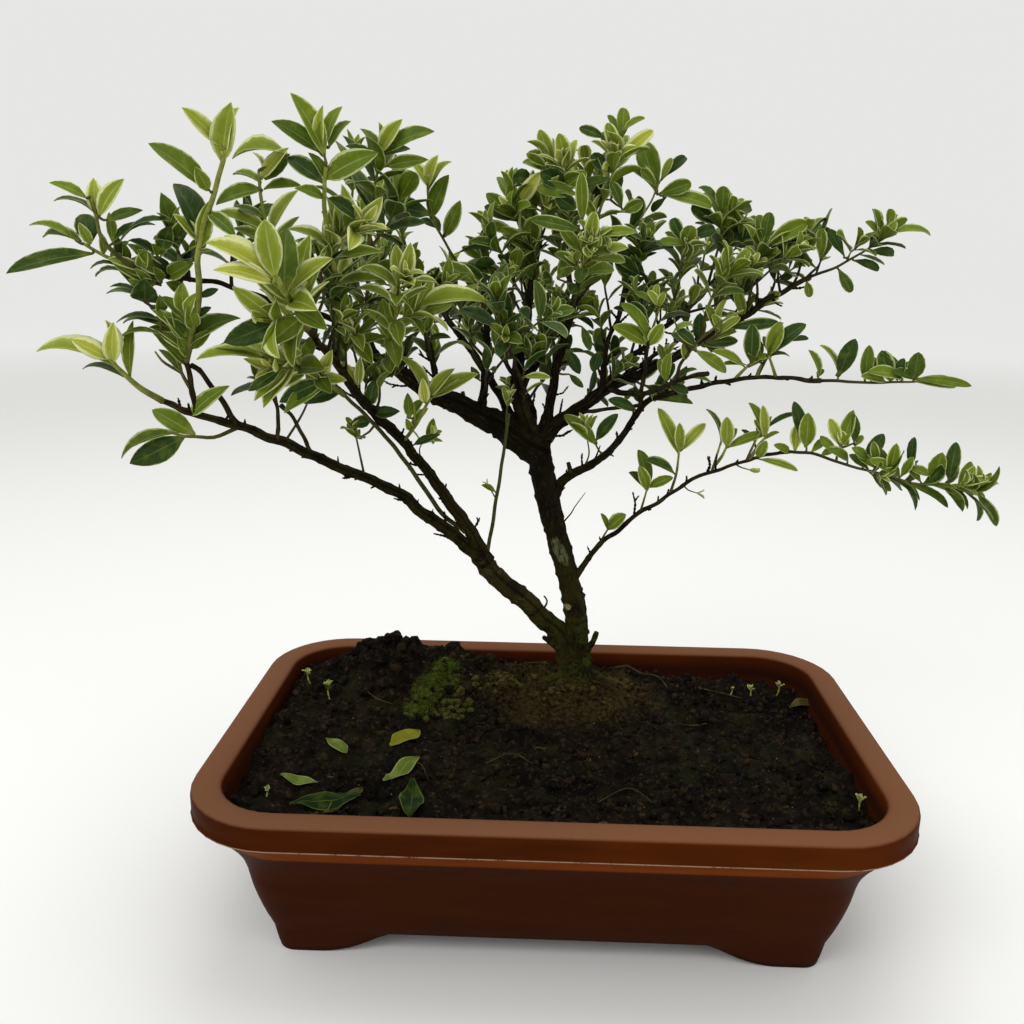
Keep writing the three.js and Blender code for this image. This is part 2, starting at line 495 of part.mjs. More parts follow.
// One leaf: a thin strip drawn in to a point at both ends and bowed away from the twig.
// base is on the twig, along is the way the leaf points and face is its upper side.
function leafSolid(base, along, face, length) {
  const across = new THREE.Vector3().crossVectors(face, along);
  const strip = new THREE.BoxGeometry(1, 1, 1, 1, 1, BLADE.outline.length - 1);
  const position = strip.attributes.position;
  for (let v = 0; v < position.count; v++) {
    const row = Math.round((position.getZ(v) + 0.5) * (BLADE.outline.length - 1));
    const [share, fullness] = BLADE.outline[row];
    const thick = fullness > 0 ? BLADE.thick : 0;
    const point = base.clone()
      .addScaledVector(along, BLADE.root + share * length)
      .addScaledVector(across, position.getX(v) * fullness * BLADE.widest * length)
      .addScaledVector(face, position.getY(v) * thick - BLADE.bow * share ** 2 * length);
    position.setXYZ(v, point.x, point.y, point.z);
  }
  return toSolid(strip);
}

// Where the leaves of a twig sit: opposite pairs from its tip back, each pair crossing the last.
function leafSlots(length, leaf, draw) {
  const slots = [];
  let turn = draw() * Math.PI;
  let spread = TIP_SPREAD;
  for (let back = 1; back <= Math.max(1, length * LEAFY_SHARE); back += PAIR_SPACING) {
    for (const half of [0, Math.PI]) {
      slots.push({
        back,
        turn: turn + half + (draw() - 0.5) * 0.5,
        spread: spread + (draw() - 0.5) * 0.3,
        length: leaf * (0.78 + 0.3 * draw()),
      });
    }
    turn += Math.PI / 2;
    spread = SIDE_SPREAD;
  }
  return slots;
}

// The twig's direction at a point, and two directions square to it.
function frameAt(route, share) {
  const tangent = route.getTangentAt(share);
  const sideways = new THREE.Vector3(0, 0, 1).cross(tangent);
  if (sideways.length() < 0.05) {
    sideways.set(1, 0, 0);
  }
  sideways.normalize();
  return { tangent, sideways, upward: new THREE.Vector3().crossVectors(tangent, sideways) };
}

function slotSolid(route, slot, dodge) {
  const share = 1 - slot.back / route.getLength();
  const { tangent, sideways, upward } = frameAt(route, share);
  const turn = slot.turn + dodge;
  const outward = sideways.multiplyScalar(Math.cos(turn)).addScaledVector(upward, Math.sin(turn));
  const along = tangent.clone().multiplyScalar(Math.cos(slot.spread))
    .addScaledVector(outward, Math.sin(slot.spread));
  along.z += LIFT;
  along.normalize();
  const face = tangent.addScaledVector(along, -tangent.dot(along)).normalize();
  return leafSolid(route.getPointAt(share), along, face, slot.length);
}

function nearestOn(routes, point) {
  let best = null;
  for (const route of routes) {
    for (const spot of route.getSpacedPoints(NEAREST_TRIES)) {
      if (!best || spot.distanceTo(point) < best.distanceTo(point)) {
        best = spot;
      }
    }
  }
  return best.toArray();
}

function twigRoutes(spray) {
  const routes = [];
  for (const points of spray.twigs) {
    const parents = routes.length ? [routes[0]] : woodRoutes;
    const root = nearestOn(parents, new THREE.Vector3(...points[0]));
    routes.push(facettedRoute([root, ...points.slice(1)], TWIG_STEP));
  }
  return routes;
}

function boxesMeet(a, b) {
  return [0, 1, 2].every((i) => a.min[i] < b.max[i] + GAP && b.min[i] < a.max[i] + GAP);
}

function makeSprays(wood, wideWood) {
  const radii = [TWIG_RADIUS.root, TWIG_RADIUS.tip];
  const sprays = SPRAYS.map((spray, index) => {
    const routes = twigRoutes(spray);
    const twigs = joined(routes.map((route) => limb(route, radii, TWIG_SIDES)));
    return { ...spray, index, routes, stem: largestPart(twigs.subtract(wideWood)) };
  });
  const taken = sprays.map(({ index, stem }) => ({ owner: index, solid: stem, box: stem.boundingBox() }));
  const isClear = (leaf, owner) => {
    const box = leaf.boundingBox();
    return leaf.minGap(wood, GAP) >= GAP && taken.every((other) => other.owner === owner
      || !boxesMeet(box, other.box) || leaf.minGap(other.solid, GAP) >= GAP);
  };
  for (const spray of sprays) {
    const draw = seededDraw(1000 + 37 * spray.index);
    const leaves = [];
    for (const route of spray.routes) {
      for (const slot of leafSlots(route.getLength(), spray.leaf, draw)) {
        for (const dodge of DODGES) {
          const leaf = slotSolid(route, slot, dodge);
          if (isClear(leaf, spray.index)) {
            leaves.push(leaf);
            taken.push({ owner: spray.index, solid: leaf, box: leaf.boundingBox() });
            break;
          }
        }
      }
    }
    spray.solid = largestPart(joined([spray.stem, ...leaves]));
  }
  return sprays;
}

// ---- Fallen leaves --------------------------------------------------------------------

// Lets a solid down on another until only the gap is left between them.
function lowered(solid, onto) {
  const reach = 20;
  let resting = solid;
  for (let drop = reach; drop > 0.02;) {
    drop = resting.minGap(onto, reach) - GAP;
    resting = resting.translate([0, 0, -drop]);
  }
  return resting;
}

function makeFallenLeaf({ x, y, heading, length }, soil) {
  const angle = THREE.MathUtils.degToRad(heading);
  const ahead = new THREE.Vector3(Math.cos(angle), Math.sin(angle), 0);
  const ends = [0, length].map((run) => soilHeight(x + run * ahead.x, y + run * ahead.y));
  const along = ahead.setZ((ends[1] - ends[0]) / length).normalize();
  const up = new THREE.Vector3(0, 0, 1);
  const face = up.addScaledVector(along, -up.dot(along)).normalize();
  return lowered(leafSolid(new THREE.Vector3(x, y, ends[0] + 8), along, face, length), soil);
}

// ---- The whole plant ------------------------------------------------------------------

const bonsai = new THREE.Group();
bonsai.name = "serissa_bonsai";

const wood = makeWood(0);
const wideWood = makeWood(GAP);
const soil = makeSoil(wideWood);
bonsai.add(toMesh("tray", makeTray(), 0x5a2f1c, 0.45));
bonsai.add(toMesh("soil", soil, 0x1c140e, 0.95));
bonsai.add(toMesh("trunk_and_limbs", wood, 0x2e261c, 0.9));
for (const { name, tone, solid } of makeSprays(wood, wideWood)) {
  bonsai.add(toMesh(`spray_${name}`, solid, TONES[tone], 0.5));
}
for (const leaf of FALLEN) {
  bonsai.add(toMesh(leaf.name, makeFallenLeaf(leaf, soil), TONES[leaf.tone], 0.6));
}

export default bonsai;
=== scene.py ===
import math

import bmesh
import bpy
import numpy as np
from bpy.props import FloatProperty, FloatVectorProperty, IntProperty, PointerProperty
from mathutils import Matrix, Vector, noise


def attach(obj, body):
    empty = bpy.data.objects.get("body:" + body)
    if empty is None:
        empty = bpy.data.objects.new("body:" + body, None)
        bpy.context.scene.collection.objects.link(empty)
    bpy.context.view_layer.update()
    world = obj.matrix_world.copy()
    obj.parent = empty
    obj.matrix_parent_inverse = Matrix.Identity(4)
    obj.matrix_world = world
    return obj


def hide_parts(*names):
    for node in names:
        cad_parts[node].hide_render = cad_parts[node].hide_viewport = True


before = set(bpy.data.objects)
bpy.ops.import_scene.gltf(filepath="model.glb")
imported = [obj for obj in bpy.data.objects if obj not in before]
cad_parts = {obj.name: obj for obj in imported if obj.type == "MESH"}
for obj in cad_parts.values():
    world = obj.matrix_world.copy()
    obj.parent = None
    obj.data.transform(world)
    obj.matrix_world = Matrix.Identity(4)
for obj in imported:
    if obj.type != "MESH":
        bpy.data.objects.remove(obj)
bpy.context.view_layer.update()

# Serissa bonsai in its oblong plastic tray: the fine pieces, their finishes and the stage.
# The tables below are in millimetres; everything in the scene is in metres.

bl_info = {
    "name": "Serissa Bonsai",
    "version": (1, 0, 0),
    "blender": (4, 5, 0),
    "location": "View3D > Sidebar > Bonsai",
    "description": "Builds a serissa bonsai in its tray, with bark, leaves, soil and moss",
    "category": "Add Mesh",
}

MM = 0.001
UP = Vector((0, 0, 1))
WHOLE_TURN = 6.2832
QUARTER_TURN = 1.5708

# The camera: where it stands, what is right and up in its view, the view's middle and how many
# points of the view one unit of slope takes. The view is 1024 points across and down.
EYE = Vector((-0.006002, -0.437066, 0.290143))
EYE_RIGHT = Vector((0.99928418, 0.03523327, 0.01377476))
EYE_UP = Vector((-0.02192889, 0.24278084, 0.96983328))
EYE_AHEAD = EYE_UP.cross(EYE_RIGHT)
VIEW_MIDDLE = 512
VIEW_SCALE = 1000


def seen_at(points):
    """How far across and down its view the camera sees some points."""
    away = np.array(points) - np.array(EYE)
    ahead = away @ np.array(EYE_AHEAD)
    return np.stack([VIEW_MIDDLE + VIEW_SCALE * (away @ np.array(EYE_RIGHT)) / ahead,
                     VIEW_MIDDLE - VIEW_SCALE * (away @ np.array(EYE_UP)) / ahead], axis=1)


def place_seen(across, down, depth):
    """The point with this y, in metres, that the camera sees so far across and down its view."""
    way = (EYE_AHEAD * VIEW_SCALE + EYE_RIGHT * (across - VIEW_MIDDLE)
           + EYE_UP * (VIEW_MIDDLE - down))
    return EYE + way * ((depth - EYE.y) / way.y)


def seen(across, down, depth):
    """A point read in the camera's view, with its y guessed, as whole millimetres."""
    return tuple(round(part / MM) for part in place_seen(across, down, depth * MM))


# ---- Routes and places -----------------------------------------------------------------------

# Limbs: name, radii from base to tip, and the route. A point of a route is whole millimetres,
# or seen(across, down, y), which works them out.
LIMBS = [
    ("trunk", (9.5, 8.6, 6.6, 5.6, 5.2, 5.6, 6.2, 5.4), [
        (16, 60, 48), seen(578, 683, 58), seen(576, 645, 57), seen(575, 612, 54),
        seen(567, 572, 52), seen(557, 534, 51), seen(548, 496, 50), seen(540, 457, 50),
        seen(536, 434, 51)]),
    ("left_stem", (5.4, 5.2, 5, 4.6), [
        (13, 60, 60), seen(562, 642, 56), seen(541, 615, 53), seen(526, 601, 50),
        seen(497, 576, 46), seen(480, 556, 41)]),
    ("low_left_branch", (3.8, 3.1, 2.8, 2.3), [
        seen(485, 561, 42), seen(451, 532, 36), seen(429, 517, 30), seen(401, 494, 22),
        seen(364, 476, 12), seen(314, 455, -4), seen(277, 441, -16), seen(234, 425, -30),
        seen(191, 413, -42), seen(163, 402, -51)]),
    ("front_branch", (3.9, 3, 2.7, 1.6), [
        seen(485, 561, 42), seen(465, 523, 40), seen(440, 489, 32), seen(417, 457, 22),
        seen(385, 425, 8), seen(358, 394, -8), seen(340, 366, -26), seen(318, 341, -50),
        seen(307, 329, -62)]),
    ("green_shoot", (1.8, 1.3), [
        (-44, 40, 160), seen(446, 517, 38), (-61, 28, 181), (-72, 16, 202), (-83, 2, 220),
        (-92, -14, 234)]),
    ("upright_shoot", (1.5, 1.1), [
        seen(486, 560, 42), seen(491, 530, 38), seen(498, 490, 34), seen(505, 448, 30),
        seen(509, 413, 28)]),
    ("left_limb", (6.3, 5.7, 4.4, 3.2, 2.2), [
        seen(540, 452, 50), seen(521, 440, 46), seen(499, 426, 42), seen(473, 412, 37),
        seen(446, 399, 31), seen(421, 386, 24), seen(397, 372, 16), seen(378, 356, 9),
        seen(362, 338, 2), seen(350, 322, -6)]),
    ("left_far_branch", (2, 1.2), [
        seen(352, 325, -5), seen(330, 317, -12), seen(300, 310, -20), seen(262, 297, -30),
        seen(222, 283, -42), seen(191, 280, -50), seen(153, 272, -58)]),
    ("left_upright", (2.8, 1.8), [
        (-36, 39, 218), seen(484, 380, 38), seen(486, 346, 36), seen(487, 318, 34),
        seen(500, 302, 33), seen(513, 292, 34)]),
    ("left_upright_2", (2.3, 1.5), [
        seen(440, 396, 29), seen(430, 355, 22), seen(423, 330, 16), seen(413, 296, 10)]),
    ("left_rear_limb", (3, 1.6), [
        (-18, 48, 208), (-26, 52, 222), seen(488, 374, 58), seen(470, 350, 66), seen(452, 326, 76),
        (-62, 84, 268), (-78, 90, 277), (-92, 92, 286)]),
    ("centre_limb", (4.4, 3.6, 2.9, 2), [
        (-10, 50, 203), seen(524, 415, 50), seen(519, 392, 51), seen(519, 366, 53),
        seen(523, 338, 55), seen(529, 310, 57), seen(534, 275, 58), seen(540, 240, 56)]),
    ("centre_right_limb", (3.4, 2.6, 1.8), [
        (-9, 51, 205), seen(546, 416, 53), seen(552, 393, 55), seen(559, 363, 58),
        seen(564, 338, 60), seen(572, 309, 62), seen(578, 280, 64), seen(588, 245, 66)]),
    ("right_limb", (4, 3.2, 2.5, 1.8), [
        (-9, 50, 203), seen(556, 426, 52), seen(579, 408, 54), seen(606, 389, 56),
        seen(625, 380, 58), seen(648, 370, 60), seen(672, 357, 61), seen(700, 341, 60),
        seen(722, 330, 58), seen(745, 317, 56), seen(768, 300, 55), seen(790, 287, 54),
        seen(810, 276, 53)]),
    ("right_upright", (2.2, 1.3), [
        seen(602, 391, 56), seen(605, 355, 61), seen(611, 330, 64), seen(621, 310, 68),
        seen(628, 285, 72)]),
    ("right_rear_limb", (2.4, 1.4), [
        seen(610, 387, 56), seen(626, 360, 63), seen(645, 346, 68), seen(666, 326, 75),
        seen(689, 308, 82), seen(706, 288, 88)]),
    ("lower_right_limb", (3.2, 2.4, 2, 1.6, 1.2), [
        seen(552, 500, 50), seen(562, 481, 50), seen(583, 470, 50), seen(606, 455, 48),
        seen(620, 440, 47), seen(629, 425, 46), seen(641, 408, 44), seen(655, 397, 42),
        seen(680, 389, 39), seen(709, 384, 36), seen(748, 379, 32), seen(792, 378, 28),
        seen(822, 380, 26)]),
    ("inner_twig", (1.5, 1.2), [
        seen(580, 410, 54), seen(600, 411, 51), seen(620, 407, 48), seen(642, 405, 44)]),
    ("right_inner_upright", (1.9, 1.2), [
        seen(640, 410, 44), seen(642, 385, 42), seen(645, 362, 39), seen(648, 345, 36)]),
    ("long_right_branch", (2.7, 2.1, 1.7, 1.3), [
        seen(573, 583, 52), seen(599, 547, 50), seen(618, 530, 48), seen(641, 511, 44),
        seen(670, 494, 40), seen(700, 477, 36), seen(722, 468, 33), seen(746, 461, 30),
        seen(767, 455, 28), seen(790, 452, 25)]),
    ("back_left_limb", (3.2, 1.5), [
        (-12, 51, 209), (-14, 68, 222), (-26, 84, 238), (-42, 97, 252)]),
    ("back_right_limb", (3, 1.4), [
        seen(560, 422, 53), (22, 70, 226), (42, 88, 238), (66, 102, 252)]),
    ("back_limb", (2.8, 1.4), [
        seen(522, 385, 52), (-6, 70, 250), (2, 88, 266), (6, 102, 280)]),
    ("front_right_twig", (2.2, 1.2), [
        seen(606, 389, 56), (38, 38, 230), (52, 18, 238), (64, 0, 244)]),
    ("front_left_twig", (2.2, 1.2), [
        seen(520, 392, 51), (-16, 34, 232), (-20, 12, 246), (-22, -12, 256)]),
    ("left_twig", (1.9, 1.4), [
        seen(236, 425, -30), seen(222, 403, -34), seen(208, 378, -41), (-144, -50, 249)]),
    ("left_twig_2", (1.8, 1.4), [
        seen(197, 412, -42), seen(191, 385, -48), seen(187, 362, -53)]),
    ("low_twig", (1.4, 1.1), [
        seen(278, 441, -16), seen(277, 418, -20), seen(275, 397, -25)]),
    ("low_twig_2", (1.4, 1.1), [
        seen(314, 455, -4), seen(298, 427, -13), (-117, -22, 230)]),
    ("trunk_stub_left", (1.8, 1.3), [
        (-4, 54, 110), (-8, 50, 108)]),
    ("trunk_stub_right", (2, 1.4), [
        (14, 56, 101), (19, 54, 104)]),
    ("trunk_stub_high", (1.5, 1.1), [
        (10, 53, 126), (15, 51, 128)]),
    ("foot_stub_right", (2.0, 1.3), [
        (17, 52, 92), (21, 48, 100), (23, 47, 106)]),
    ("foot_stub_left", (2.2, 1.2), [
        (4, 54, 94), (-2, 50, 100), (-4, 48, 102)]),
    ("limb_stub_left", (1.4, 1), [
        (-44, 35, 222), (-45, 33, 230)]),
    ("limb_stub_right", (1.4, 1), [
        (8, 50, 187), (6, 48, 194)]),
    ("root_front", (4, 2.2), [
        (15, 57, 76), (12, 43, 74), (8, 30, 66)]),
    ("root_right", (4.2, 2), [
        (16, 58, 78), (30, 54, 74), (46, 50, 65)]),
    ("root_left", (4, 2), [
        (12, 58, 77), (-3, 54, 74), (-16, 50, 66)]),
    ("root_back", (4, 2.2), [
        (16, 60, 77), (19, 69, 73), (22, 76, 65)]),
]

# Sprays: name, tone, leaf length, and the route of each twig from its base to its tip.
SPRAYS = [
    ("far_left", "mature", 22, [
        [seen(153, 272, -58), seen(125, 262, -64), seen(103, 240, -70), seen(96, 215, -73),
         seen(92, 198, -75)],
    ]),
    ("left_upper", "dark", 18, [
        [seen(191, 280, -50), (-143, -58, 291), (-143, -62, 299)],
    ]),
    ("left_middle", "mature", 20, [
        [(-145, -46, 237), (-148, -51, 246), (-149, -54, 253)],
        [(-148, -51, 246), (-152, -56, 250), (-154, -60, 255)],
    ]),
    ("long_left_shoot", "young", 24, [
        [seen(187, 362, -53), seen(193, 330, -60), seen(198, 290, -68), seen(197, 257, -76),
         seen(205, 222, -84), seen(214, 192, -90), seen(222, 168, -95), seen(226, 150, -98)],
    ]),
    ("left_tip", "young", 24, [
        [seen(163, 402, -51), seen(138, 385, -60), seen(118, 369, -66), seen(104, 354, -71)],
    ]),
    ("left_low", "mature", 20, [
        [seen(240, 430, -28), seen(215, 436, -34), (-150, -40, 219), (-157, -46, 222)],
    ]),
    ("left_hanging", "dark", 18, [
        [seen(275, 397, -25), seen(271, 382, -30), (-119, -34, 248)],
    ]),
    ("front_large", "young", 27, [
        [seen(307, 329, -62), seen(298, 312, -80), seen(286, 292, -97), seen(277, 276, -110)],
        [(-95, -70, 267), (-101, -78, 268), (-107, -85, 269)],
    ]),
    ("front_low", "young", 25, [
        [(-92, -14, 234), (-98, -36, 244), (-103, -58, 251), (-107, -74, 254)],
    ]),
    ("front_centre", "young", 24, [
        [seen(350, 322, -6), seen(338, 280, -40), seen(328, 235, -64), seen(325, 195, -78),
         seen(326, 165, -87)],
        [(-87, -56, 292), (-79, -64, 299), (-74, -69, 306)],
    ]),
    ("front_upper", "young", 22, [
        [(-110, -21, 270), (-108, -48, 287), (-108, -66, 302), (-107, -74, 311), (-106, -79, 319)],
    ]),
    ("left_rear", "dark", 18, [
        [(-130, -39, 279), (-128, -44, 290), (-124, -48, 298), (-119, -51, 305)],
    ]),
    ("left_top", "mature", 20, [
        [(-86, 3, 256), (-82, -8, 277), seen(370, 230, -18), seen(375, 185, -26),
         seen(381, 152, -31)],
        [(-80, -15, 295), (-70, -20, 305), (-65, -23, 315)],
    ]),
    ("left_top_rear", "mature", 19, [
        [seen(378, 356, 9), (-88, 10, 272), (-92, 12, 300), (-91, 14, 320), (-90, 16, 333)],
    ]),
    ("slanting", "mature", 18, [
        [seen(487, 318, 34), seen(478, 295, 30), seen(460, 266, 24), seen(440, 232, 18),
         seen(429, 200, 12), seen(428, 176, 8)],
        [(-52, 19, 299), (-48, 16, 310)],
    ]),
    ("left_inner", "mature", 19, [
        [seen(413, 296, 10), (-67, 9, 289), (-70, 8, 304), (-72, 8, 316)],
    ]),
    ("inner_front", "young", 21, [
        [seen(397, 372, 16), seen(388, 350, -4), seen(394, 322, -26), seen(400, 292, -40),
         seen(402, 268, -47)],
        [seen(394, 322, -26), (-58, -33, 270)],
    ]),
    ("inner_low", "young", 18, [
        [(-88, 0, 259), (-86, -14, 256), (-84, -26, 259), (-84, -34, 263)],
    ]),
    ("low_light", "young", 20, [
        [(-71, 16, 208), seen(415, 425, 8), seen(428, 402, -2), seen(445, 387, -8),
         seen(460, 380, -11)],
        [seen(415, 425, 8), (-64, 2, 228)],
    ]),
    ("centre_left_low", "mature", 17, [
        [(-27, 33, 272), seen(490, 290, 22), (-37, 14, 281), (-40, 8, 284)],
    ]),
    ("centre_left", "mature", 18, [
        [seen(529, 310, 57), seen(515, 280, 50), seen(500, 250, 46), seen(488, 228, 43)],
        [seen(515, 280, 50), (-31, 52, 286), (-40, 53, 292)],
    ]),
    ("centre_upper_left", "mature", 18, [
        [seen(534, 275, 58), seen(525, 240, 54), seen(516, 210, 50), (-24, 48, 323)],
    ]),
    ("centre_top", "young", 18, [
        [seen(540, 240, 56), (-9, 52, 316), (-7, 48, 329), (-6, 46, 338)],
        [(-9, 52, 316), (-1, 45, 323), (2, 41, 332)],
    ]),
    ("top", "young", 20, [
        [seen(588, 245, 66), seen(600, 210, 62), seen(612, 175, 58), seen(620, 148, 55)],
        [(17, 63, 311), (13, 67, 324), (11, 70, 336)],
    ]),
    ("top_right", "mature", 18, [
        [seen(578, 280, 64), seen(605, 250, 70), seen(632, 228, 74), seen(650, 205, 76),
         seen(660, 184, 76)],
    ]),
    ("centre_front", "young", 19, [
        [seen(572, 309, 62), seen(580, 282, 44), seen(586, 258, 28), seen(592, 240, 18)],
        [seen(585, 262, 30), (18, 25, 294)],
    ]),
    ("centre_right", "dark", 17, [
        [seen(628, 285, 72), (37, 64, 290), (40, 59, 298)],
    ]),
    ("centre_right_low", "mature", 16, [
        [seen(648, 345, 36), (43, 32, 262), (45, 28, 271)],
        [(43, 33, 260), (35, 33, 267)],
    ]),
    ("front_left", "dark", 18, [
        [(-22, -12, 256), (-25, -26, 264), (-26, -36, 276)],
        [(-24, -20, 260), (-13, -32, 264), (-5, -42, 270)],
    ]),
    ("front_right", "mature", 17, [
        [(52, 18, 238), seen(683, 358, 6), seen(708, 333, -6), seen(727, 318, -13),
         seen(743, 311, -18)],
        [(56, 2, 253), (50, -4, 262), (47, -8, 268)],
    ]),
    ("right_rear", "mature", 17, [
        [seen(706, 288, 88), seen(714, 262, 84), seen(720, 238, 80), seen(722, 216, 78)],
        [seen(714, 262, 84), seen(734, 250, 80), seen(748, 236, 78)],
    ]),
    ("right_middle", "mature", 16, [
        [seen(666, 326, 75), seen(676, 295, 68), seen(682, 268, 62), seen(684, 246, 58)],
    ]),
    ("right_top", "mature", 17, [
        [seen(745, 317, 56), seen(752, 285, 52), seen(760, 255, 49), seen(765, 232, 47)],
        [seen(752, 285, 52), (100, 46, 290), (106, 41, 299)],
    ]),
    ("right_front", "young", 20, [
        [seen(700, 341, 60), seen(705, 312, 48), seen(718, 288, 38), seen(736, 270, 32)],
    ]),
    ("right_end", "mature", 15, [
        [seen(810, 276, 53), seen(835, 268, 50), seen(858, 256, 47), seen(878, 241, 43),
         seen(888, 231, 41)],
        [seen(818, 274, 52), (122, 51, 295), (120, 50, 303)],
        [seen(846, 263, 49), (133, 43, 297)],
    ]),
    ("right_inner", "dark", 17, [
        [seen(672, 357, 61), (61, 52, 250), (66, 44, 253), (74, 38, 256)],
    ]),
    ("right_low", "mature", 18, [
        [seen(757, 379, 31), seen(766, 358, 28), (97, 26, 257), (100, 24, 265)],
        [seen(763, 364, 29), (86, 27, 251)],
    ]),
    ("right_long_end", "mature", 16, [
        [seen(822, 380, 26), seen(850, 381, 24), seen(880, 383, 22), seen(910, 381, 20),
         seen(938, 380, 18)],
    ]),
    ("low_right_inner", "young", 17, [
        [seen(670, 494, 40), seen(676, 472, 37), seen(679, 450, 34), (58, 32, 210)],
    ]),
    ("low_right_first", "young", 14, [
        [seen(641, 511, 44), seen(646, 494, 42), (45, 40, 189)],
    ]),
    ("low_right_upper", "young", 16, [
        [seen(746, 461, 30), seen(755, 442, 27), (96, 24, 219)],
    ]),
    ("low_right_twig", "young", 15, [
        [(74, 34, 194), (76, 31, 204), (77, 28, 212)],
    ]),
    ("low_right_end", "mature", 16, [
        [seen(790, 452, 25), seen(816, 456, 22), seen(849, 466, 18), seen(883, 476, 14),
         seen(916, 484, 10), seen(949, 488, 7), seen(976, 494, 4)],
    ]),
    ("rear_left", "mature", 18, [
        [(-92, 92, 286), (-98, 96, 300), (-102, 100, 314)],
        [(-93, 93, 289), (-106, 87, 296)],
        [(-94, 94, 291), (-100, 104, 290), (-107, 111, 295)],
    ]),
    ("rear_left_inner", "mature", 18, [
        [(-58, 80, 263), (-60, 92, 274)],
    ]),
    ("back_left", "mature", 18, [
        [(-42, 97, 252), (-54, 106, 262), (-64, 112, 274)],
        [(-52, 104, 260), (-66, 102, 258), (-78, 108, 262)],
        [(-45, 99, 255), (-38, 110, 268)],
    ]),
    ("back_top", "mature", 18, [
        [(6, 102, 280), (4, 112, 298), (0, 116, 314)],
        [(5, 106, 287), (22, 108, 298)],
    ]),
    ("back_right", "mature", 17, [
        [(66, 102, 252), (80, 110, 262), (90, 114, 276)],
        [(69, 104, 254), (66, 116, 266)],
    ]),
    ("back_middle", "dark", 17, [
        [(-14, 68, 222), (-6, 88, 232), (2, 106, 244)],
    ]),
    ("back_right_low", "dark", 17, [
        [(36, 83, 234), (48, 98, 226), (62, 110, 226)],
    ]),
]

